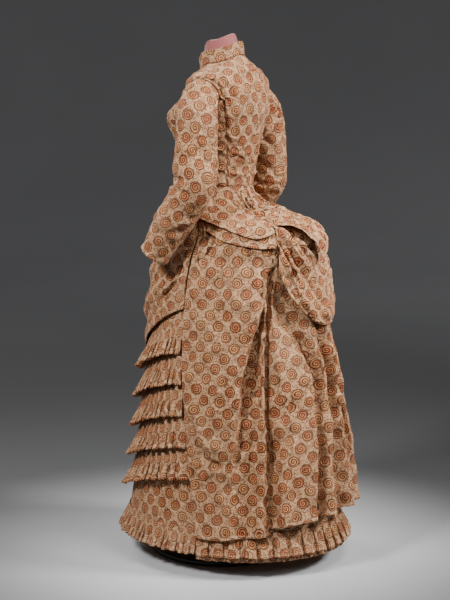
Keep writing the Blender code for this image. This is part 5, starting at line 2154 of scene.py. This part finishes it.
# ---------------------------------------------------------------- basque
@dataclass
class Basque:
    """The skirts of the bodice: two fronts, two sides, a pleated tail and a turned fold at each hip."""

    cover: Cover
    side: float = -12.0
    back: float = 48.0
    seam: Curve = Curve((1.060, 66.0), (1.020, 60.0), (0.980, 53.0), (0.940, 49.0), (0.900, 48.0))
    low: float = 0.915
    hem: Curve = Curve(
        (-90, 0.955), (-60, 0.962), (-25, 0.977), (-10, 0.971), (5, 0.949), (20, 0.930), (33, 0.920), (48, 0.930)
    )
    out: Curve = Curve((0, 9.0), (0.3, 10.5), (0.7, 17), (1.0, 22.5))
    hip_hem: Curve = Curve((-5, 0.936), (8, 0.915), (20, 0.905), (35, 0.897), (48, 0.898))
    hip_out: Curve = Curve((0, 8.0), (0.6, 13), (1.0, 19.0))
    hip_front: float = -5.0
    hip_top: float = 0.975
    tail_out: Curve = Curve((0, 9), (0.2, 9.5), (0.5, 13), (0.8, 31), (1.0, 44))
    tail_side_out: Curve = Curve((0, 9), (0.2, 9.5), (0.5, 10), (0.8, 11), (1.0, 12.5))
    tail_side: float = 0.949
    tongue: float = 0.080
    tongue_width: float = 0.40
    pleats: int = 3
    pleat_mm: float = 2.0
    swells: tuple[Swell, ...] = (Swell(0.06, 0.0010, 0.008, 0.01),)
    tail_swells: tuple[Swell, ...] = (Swell(0.050, 0.0024, 0.010, 0.02), Swell(0.022, 0.0009, 0.010, 0.02))
    front_creases: tuple[Crease, ...] = creases_of(
        (90, 10, 80, 70, 12, 2.5), (55, 5, 60, 60, 12, 2),
    )
    side_creases: tuple[Crease, ...] = creases_of(
        (25, 10, 20, 75, 12, 2.8), (52, 4, 46, 60, 10, 3, 5), (74, 5, 74, 70, 9, 3.5, 5), (90, 10, 86, 80, 9, 3, 5),
        (50, 62, 98, 55, 12, 3, 8),
    )
    hip_creases: tuple[Crease, ...] = creases_of(
        (20, 45, 22, 100, 10, 3), (42, 40, 44, 98, 9, 3), (62, 45, 66, 100, 10, 2.8), (82, 40, 84, 95, 9, 3),
    )
    tail_creases: tuple[Crease, ...] = creases_of(
        (28, 36, 6, 98, 8, 7, 3), (36, 30, 14, 98, 10, -5, 3), (44, 0, 6, 86, 20, -4, 5),
        (40, 4, 16, 98, 14, 6.5, 5), (47, 10, 32, 98, 20, -5, 4), (50, 20, 46, 98, 18, 5.5, 3),
        (56, 4, 90, 88, 18, -5, -5), (58, 4, 80, 98, 14, 6, -5), (53, 14, 66, 98, 20, -4.5, -4),
        (20, 16, 9, 82, 4.5, 8.5, 2), (30, 14, 19, 92, 4.5, 8, 2), (12, 10, 7, 40, 4.5, 7),
        (82, 14, 92, 84, 4.5, 8, -2), (71, 12, 80, 90, 5, 7.5, -2), (30, 0, 20, 40, 8, 3.5), (38, 0, 34, 34, 7, 3.5),
        (62, 0, 66, 36, 7, 3.5), (72, 0, 80, 40, 8, 3.5),
    )

    def waist(self, angle: Points) -> Points:
        """Points just below the bodice's waist seam."""
        return TORSO.base(angle, np.zeros(np.shape(angle))) - [0, 0, 2 * SEAM_SHOWS]

    def skirt(self, columns: int, first: float, last: Callable[[Points], Points]) -> Sheet:
        """A skirt of the bodice.

        Args:
            columns: How many columns it has.
            first: The angle of one edge.
            last: Gives the other edge's angle at some heights.

        Returns:
            The sheet.
        """
        share = edged(columns)[None, :]
        v = hemmed(0.13, 40)[:, None]
        angle = first + (last(WAIST_Z + (self.low - WAIST_Z) * v) - first) * share
        z = WAIST_Z + (self.hem(angle) - WAIST_Z) * v
        points = SKIRT.at(angle, z, self.out(v) + 1.2 * ripple(angle * 0.003, v * 0.12, 0.07, columns) * v)
        near = ramp(v, 0.0, 0.16)[..., None]
        return Sheet(eased(self.waist(angle) * (1 - near) + points * near))

    def hip(self) -> Sheet:
        """The turned fold that shows below the basque at the hip.

        Returns:
            Its sheet.
        """
        v = hemmed(0.09, 30)[:, None]
        angle = self.hip_front + (self.back - self.hip_front) * edged(56)[None, :]
        z = self.hip_top + (self.hip_hem(angle) - self.hip_top) * v
        return Sheet(SKIRT.at(angle, z, self.hip_out(v) + 1.6 * np.cos(angle * 0.72) * v))

    def tail(self) -> Sheet:
        """The pleated tail, fanned over the bustle.

        Returns:
            Its sheet.
        """
        u = even(-1, 1, 118)[None, :]
        v = hemmed(0.17, 58)[:, None]
        low = self.tail_side - self.tongue * np.exp(-((np.abs(u) / self.tongue_width) ** 1.4))
        z = WAIST_Z + (low - WAIST_Z) * v
        angle = 90 + (90 - self.seam(z)) * u
        phase = self.pleats * np.pi * u
        fold = np.cos(phase) - 0.25 * np.cos(2 * phase)
        pleat = self.pleat_mm * fold * np.sin(np.pi * v) ** 0.6 * (1 - 0.3 * v)
        angle = angle + 1.6 * np.sin(2 * phase) * np.sin(np.pi * v)
        lift = np.maximum(0.0, 1 - (np.abs(u) / 0.94) ** 1.6)
        flat = self.tail_side_out(v)
        points = SKIRT.at(angle, z, flat + (self.tail_out(v) - flat) * lift + pleat)
        near = ramp(v, 0.0, 0.12)[..., None]
        points = self.waist(90 + (90 - self.seam(WAIST_Z)) * u) * (1 - near) + points * near
        return Sheet(eased(points))

    def build(self) -> None:
        """Makes all seven pieces."""
        front = self.skirt(44, -90.0, lambda z: np.full(z.shape, self.side))
        sheets = (
            ("basque_front", front, self.front_creases, "bodice_front"),
            ("basque_side", self.skirt(48, self.side, self.seam), self.side_creases, "bodice_side_back"),
            ("hip_fold", self.hip(), self.hip_creases, "side_panel"),
        )
        for node, sheet, creases, carrier in sheets:
            for side, panel, seed in both(node, sheet, creases):
                panel.swell(self.swells, seed)
                panel.turn_hem()
                if node != "hip_fold":
                    panel.seam_roll()
                dress(f"{node}_{side.value}", panel, self.cover, Held.HUNG, [f"{carrier}_{side.value}"])
        tail = self.tail()
        tail.crease(self.tail_creases)
        tail.swell(self.tail_swells, 210)
        tail.turn_hem()
        carriers = ["bodice_centre_back_left", "bodice_centre_back_right"]
        dress("basque_tail", tail, self.cover, Held.DRAPED, carriers)


# ---------------------------------------------------------------- form and stand
@dataclass
class DressForm:
    """The limbless padded form, with its flat-cut neck."""

    finish: bpy.types.Material
    inset: float = 0.0050
    hips: tuple[Section, ...] = (
        Section(1.045, -0.0765, 0.0955, 0.0700, 2.0),
        Section(1.010, -0.0900, 0.1120, 0.0820, 2.0),
        Section(0.970, -0.1020, 0.1330, 0.1030, 2.0),
        Section(0.900, -0.1080, 0.1460, 0.1150, 2.0),
        Section(0.840, -0.1020, 0.1400, 0.1050, 2.0),
        Section(0.815, -0.0800, 0.1150, 0.0800, 2.0),
    )
    neck: Girth = Girth(1.445, 1.464, 1.482, -0.048, 0.046, 0.037, 2.0)
    columns: int = 66

    def build(self) -> None:
        """Lofts the form and closes both its ends."""
        angle = np.linspace(-180, 180, self.columns, endpoint=False)
        crown = TORSO.ring(self.neck, angle)
        rings = [TORSO.at(angle, np.full(angle.shape, row), -self.inset) for row in even(8.0, 0.55, 62)]
        base = rings[0]
        neck = [crown * t + base * (1 - t) for t in (0.985, 0.95, 0.85, 0.7, 0.5, 0.3, 0.12)]
        cap_middle = crown.mean(0)
        cap = [cap_middle + (crown - cap_middle) * s for s in (0.002, 0.3, 0.6, 0.85, 0.955)]
        rim = crown + (crown - cap_middle) * 0.004 - [0, 0, 0.0012]
        hips = columns_of(self.hips, [row.z for row in self.hips])
        for z in even(1.045, 0.815, 26):
            _, front, half_width, back, square = (curve(z) for curve in hips)
            x, y = oval(front, half_width, back, square, angle)
            rings.append(np.stack([x, y, np.full(x.shape, z)], -1))
        low_middle = rings[-1].mean(0)
        floor = [low_middle + (rings[-1] - low_middle) * s for s in (0.93, 0.6, 0.3, 0.002)]
        grid = np.stack([*cap, crown - (crown - cap_middle) * 0.012, rim, *neck, *rings, *floor])
        piece = mesh_of("dress_form_cover", grid, grid_faces(*grid.shape[:2], closed=True), {})
        fit(piece, "dress_form", Slot.FORM, self.finish)
        LOG.info("dress form")


@dataclass
class Stand:
    """The black pole and its round weighted foot."""

    finish: bpy.types.Material
    foot_radius: float = 0.205
    foot_thickness: float = 0.014
    foot_bevel: float = 0.004
    pole_radius: float = 0.016
    pole_top: float = 0.8146
    gap: float = 0.0004

    def turned(self, name: str, profile: Sequence[tuple[float, float]], columns: int) -> None:
        """A turned piece that stands for the solid of that name.

        Args:
            name: The node.
            profile: Radius and height down its outline, from the middle of its top to that of its underside.
            columns: How many columns it has.
        """
        turn = np.radians(np.linspace(0, 360, columns, endpoint=False))
        r, z = np.array(profile).T
        grid = np.stack([r[:, None] * np.cos(turn), r[:, None] * np.sin(turn), z[:, None] + 0 * turn], -1)
        piece = mesh_of(f"{name}_turned", grid, grid_faces(*grid.shape[:2], closed=True), {})
        fit(piece, name, Slot.STAND, self.finish)

    def build(self) -> None:
        """Makes the foot and the pole."""
        r, t, b = self.foot_radius, self.foot_thickness, self.foot_bevel
        arc = [(r - b + b * math.sin(a), t - b + b * math.cos(a)) for a in np.linspace(0, math.pi / 2, 7)]
        foot = [(0.0003, t), (r * 0.4, t), (r * 0.8, t), (r - b - 0.001, t), *arc, (r, b * 0.6), (r - 0.001, 0.0006)]
        self.turned("stand_foot", [*foot, (r - 0.002, 0.0), (r * 0.6, 0.0), (0.0003, 0.0)], 120)
        p, low, high = self.pole_radius, t + self.gap, self.pole_top
        pole = [(0.0003, high), (p - 0.0015, high), (p, high - 0.0015), (p, 0.6), (p, 0.3), (p, low + 0.03)]
        pole += [(p, low + 0.02), (p, low + 0.0015), (p - 0.0015, low), (0.0003, low)]
        self.turned("stand_pole", pole, 40)
        LOG.info("stand")


# ---------------------------------------------------------------- studio
class Lamp(NamedTuple):
    """A soft square light that points at the dress."""

    name: str
    at: tuple[float, float, float]
    side: float
    watts: float
    spread: float  # the width of its beam in degrees


@dataclass
class Studio:
    """A paper floor with a painted pool of light, that curves up all round into grey, soft lights, and the camera."""

    floor: bpy.types.Material
    camera_at: tuple[float, float, float] = (3.532, 1.878, 1.29)
    facing: float = 118.0
    tilt: float = 8.0
    lens: float = 84.18
    shift: float = 0.005
    world: Colour = (0.30, 0.30, 0.305)
    world_strength: float = 0.60
    aim: float = 0.75
    floor_profile: Curve = Curve((0, 0), (6.6, 0), (7.6, 0.12), (9.0, 0.70), (10.2, 1.9), (11.0, 3.6), (11.6, 6.0))
    lamps: tuple[Lamp, ...] = (
        Lamp("key", (3.02, -0.60, 3.10), 0.70, 32.0, 74.0),
        Lamp("back_light", (-0.70, 3.05, 2.70), 0.8, 38.0, 74.0),
        Lamp("near_fill", (2.30, 2.60, 2.60), 1.1, 3.2, 70.0),
        Lamp("top", (0.45, 1.50, 3.85), 1.0, 6.5, 46.0),
        Lamp("far_side", (-1.2, -2.9, 2.4), 1.2, 10.0, 70.0),
    )

    def put_up(self, lamp: Lamp) -> None:
        """Makes a light.

        Args:
            lamp: What it is to be.
        """
        light = bpy.data.lights.new(lamp.name, "AREA")
        light.energy, light.size, light.spread = lamp.watts, lamp.side, math.radians(lamp.spread)
        made = bpy.data.objects.new(lamp.name, light)
        made.location = lamp.at
        made.rotation_euler = (Vector(lamp.at) - Vector((0, 0, self.aim))).to_track_quat("Z", "Y").to_euler()
        bpy.context.scene.collection.objects.link(made)

    def build(self) -> None:
        """Makes the floor, the lights, the world and the camera."""
        turn = np.linspace(0, math.tau, 97)[None, :-1]
        far = np.append([0.001], np.linspace(0.5, 11.6, 60))[:, None]
        up = self.floor_profile(far)
        points = np.stack(np.broadcast_arrays(far * np.cos(turn), far * np.sin(turn), up), -1)
        floor = mesh_of("floor", points, grid_faces(*points.shape[:2], closed=True), {})
        floor.data.materials.append(self.floor)
        floor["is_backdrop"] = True
        for lamp in self.lamps:
            self.put_up(lamp)
        world = bpy.data.worlds.new("studio")
        world.use_nodes = True
        back = world.node_tree.nodes["Background"]
        back.inputs[0].default_value = (*self.world, 1.0)
        back.inputs[1].default_value = self.world_strength
        bpy.context.scene.world = world
        lens = bpy.data.cameras.new("camera")
        lens.lens, lens.shift_x = self.lens, self.shift
        camera = bpy.data.objects.new("camera", lens)
        camera.location = self.camera_at
        camera.rotation_euler = (math.radians(90 - self.tilt), 0, math.radians(self.facing))
        bpy.context.scene.collection.objects.link(camera)
        bpy.context.scene.camera = camera


def main() -> None:
    """Builds the dress, its form and stand, and the studio."""
    logging.basicConfig(level=logging.INFO, format="%(name)s: %(message)s")
    face = PrintedCotton("printed_cotton").material()
    wrong = PrintedCotton("printed_cotton_wrong_side", print_share=0.35).material()
    lining = Lining("bodice_lining").material()
    skirts, body = Cover(face, wrong), Cover(face, lining)
    Studio(FloorPaper("floor_paper").material()).build()
    DressForm(FormCover("pink_jersey").material()).build()
    Stand(BlackPaint("black_paint").material()).build()
    Bodice(body).build()
    Collar(body).build()
    Buttons(ButtonCover("covered_button").material()).build()
    Sleeves(body).build()
    Underskirt(skirts).build()
    Ruffles(skirts).build()
    HemFlounce(skirts).build()
    Panels(skirts).build()
    Apron(skirts).build()
    Puff(skirts).build()
    Basque(skirts).build()
    bpy.context.view_layer.update()
    sizes = [[list(map(float, corner)) for corner in box] for box in (CAD_BOX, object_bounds())]


if __name__ == "__main__":
    main()
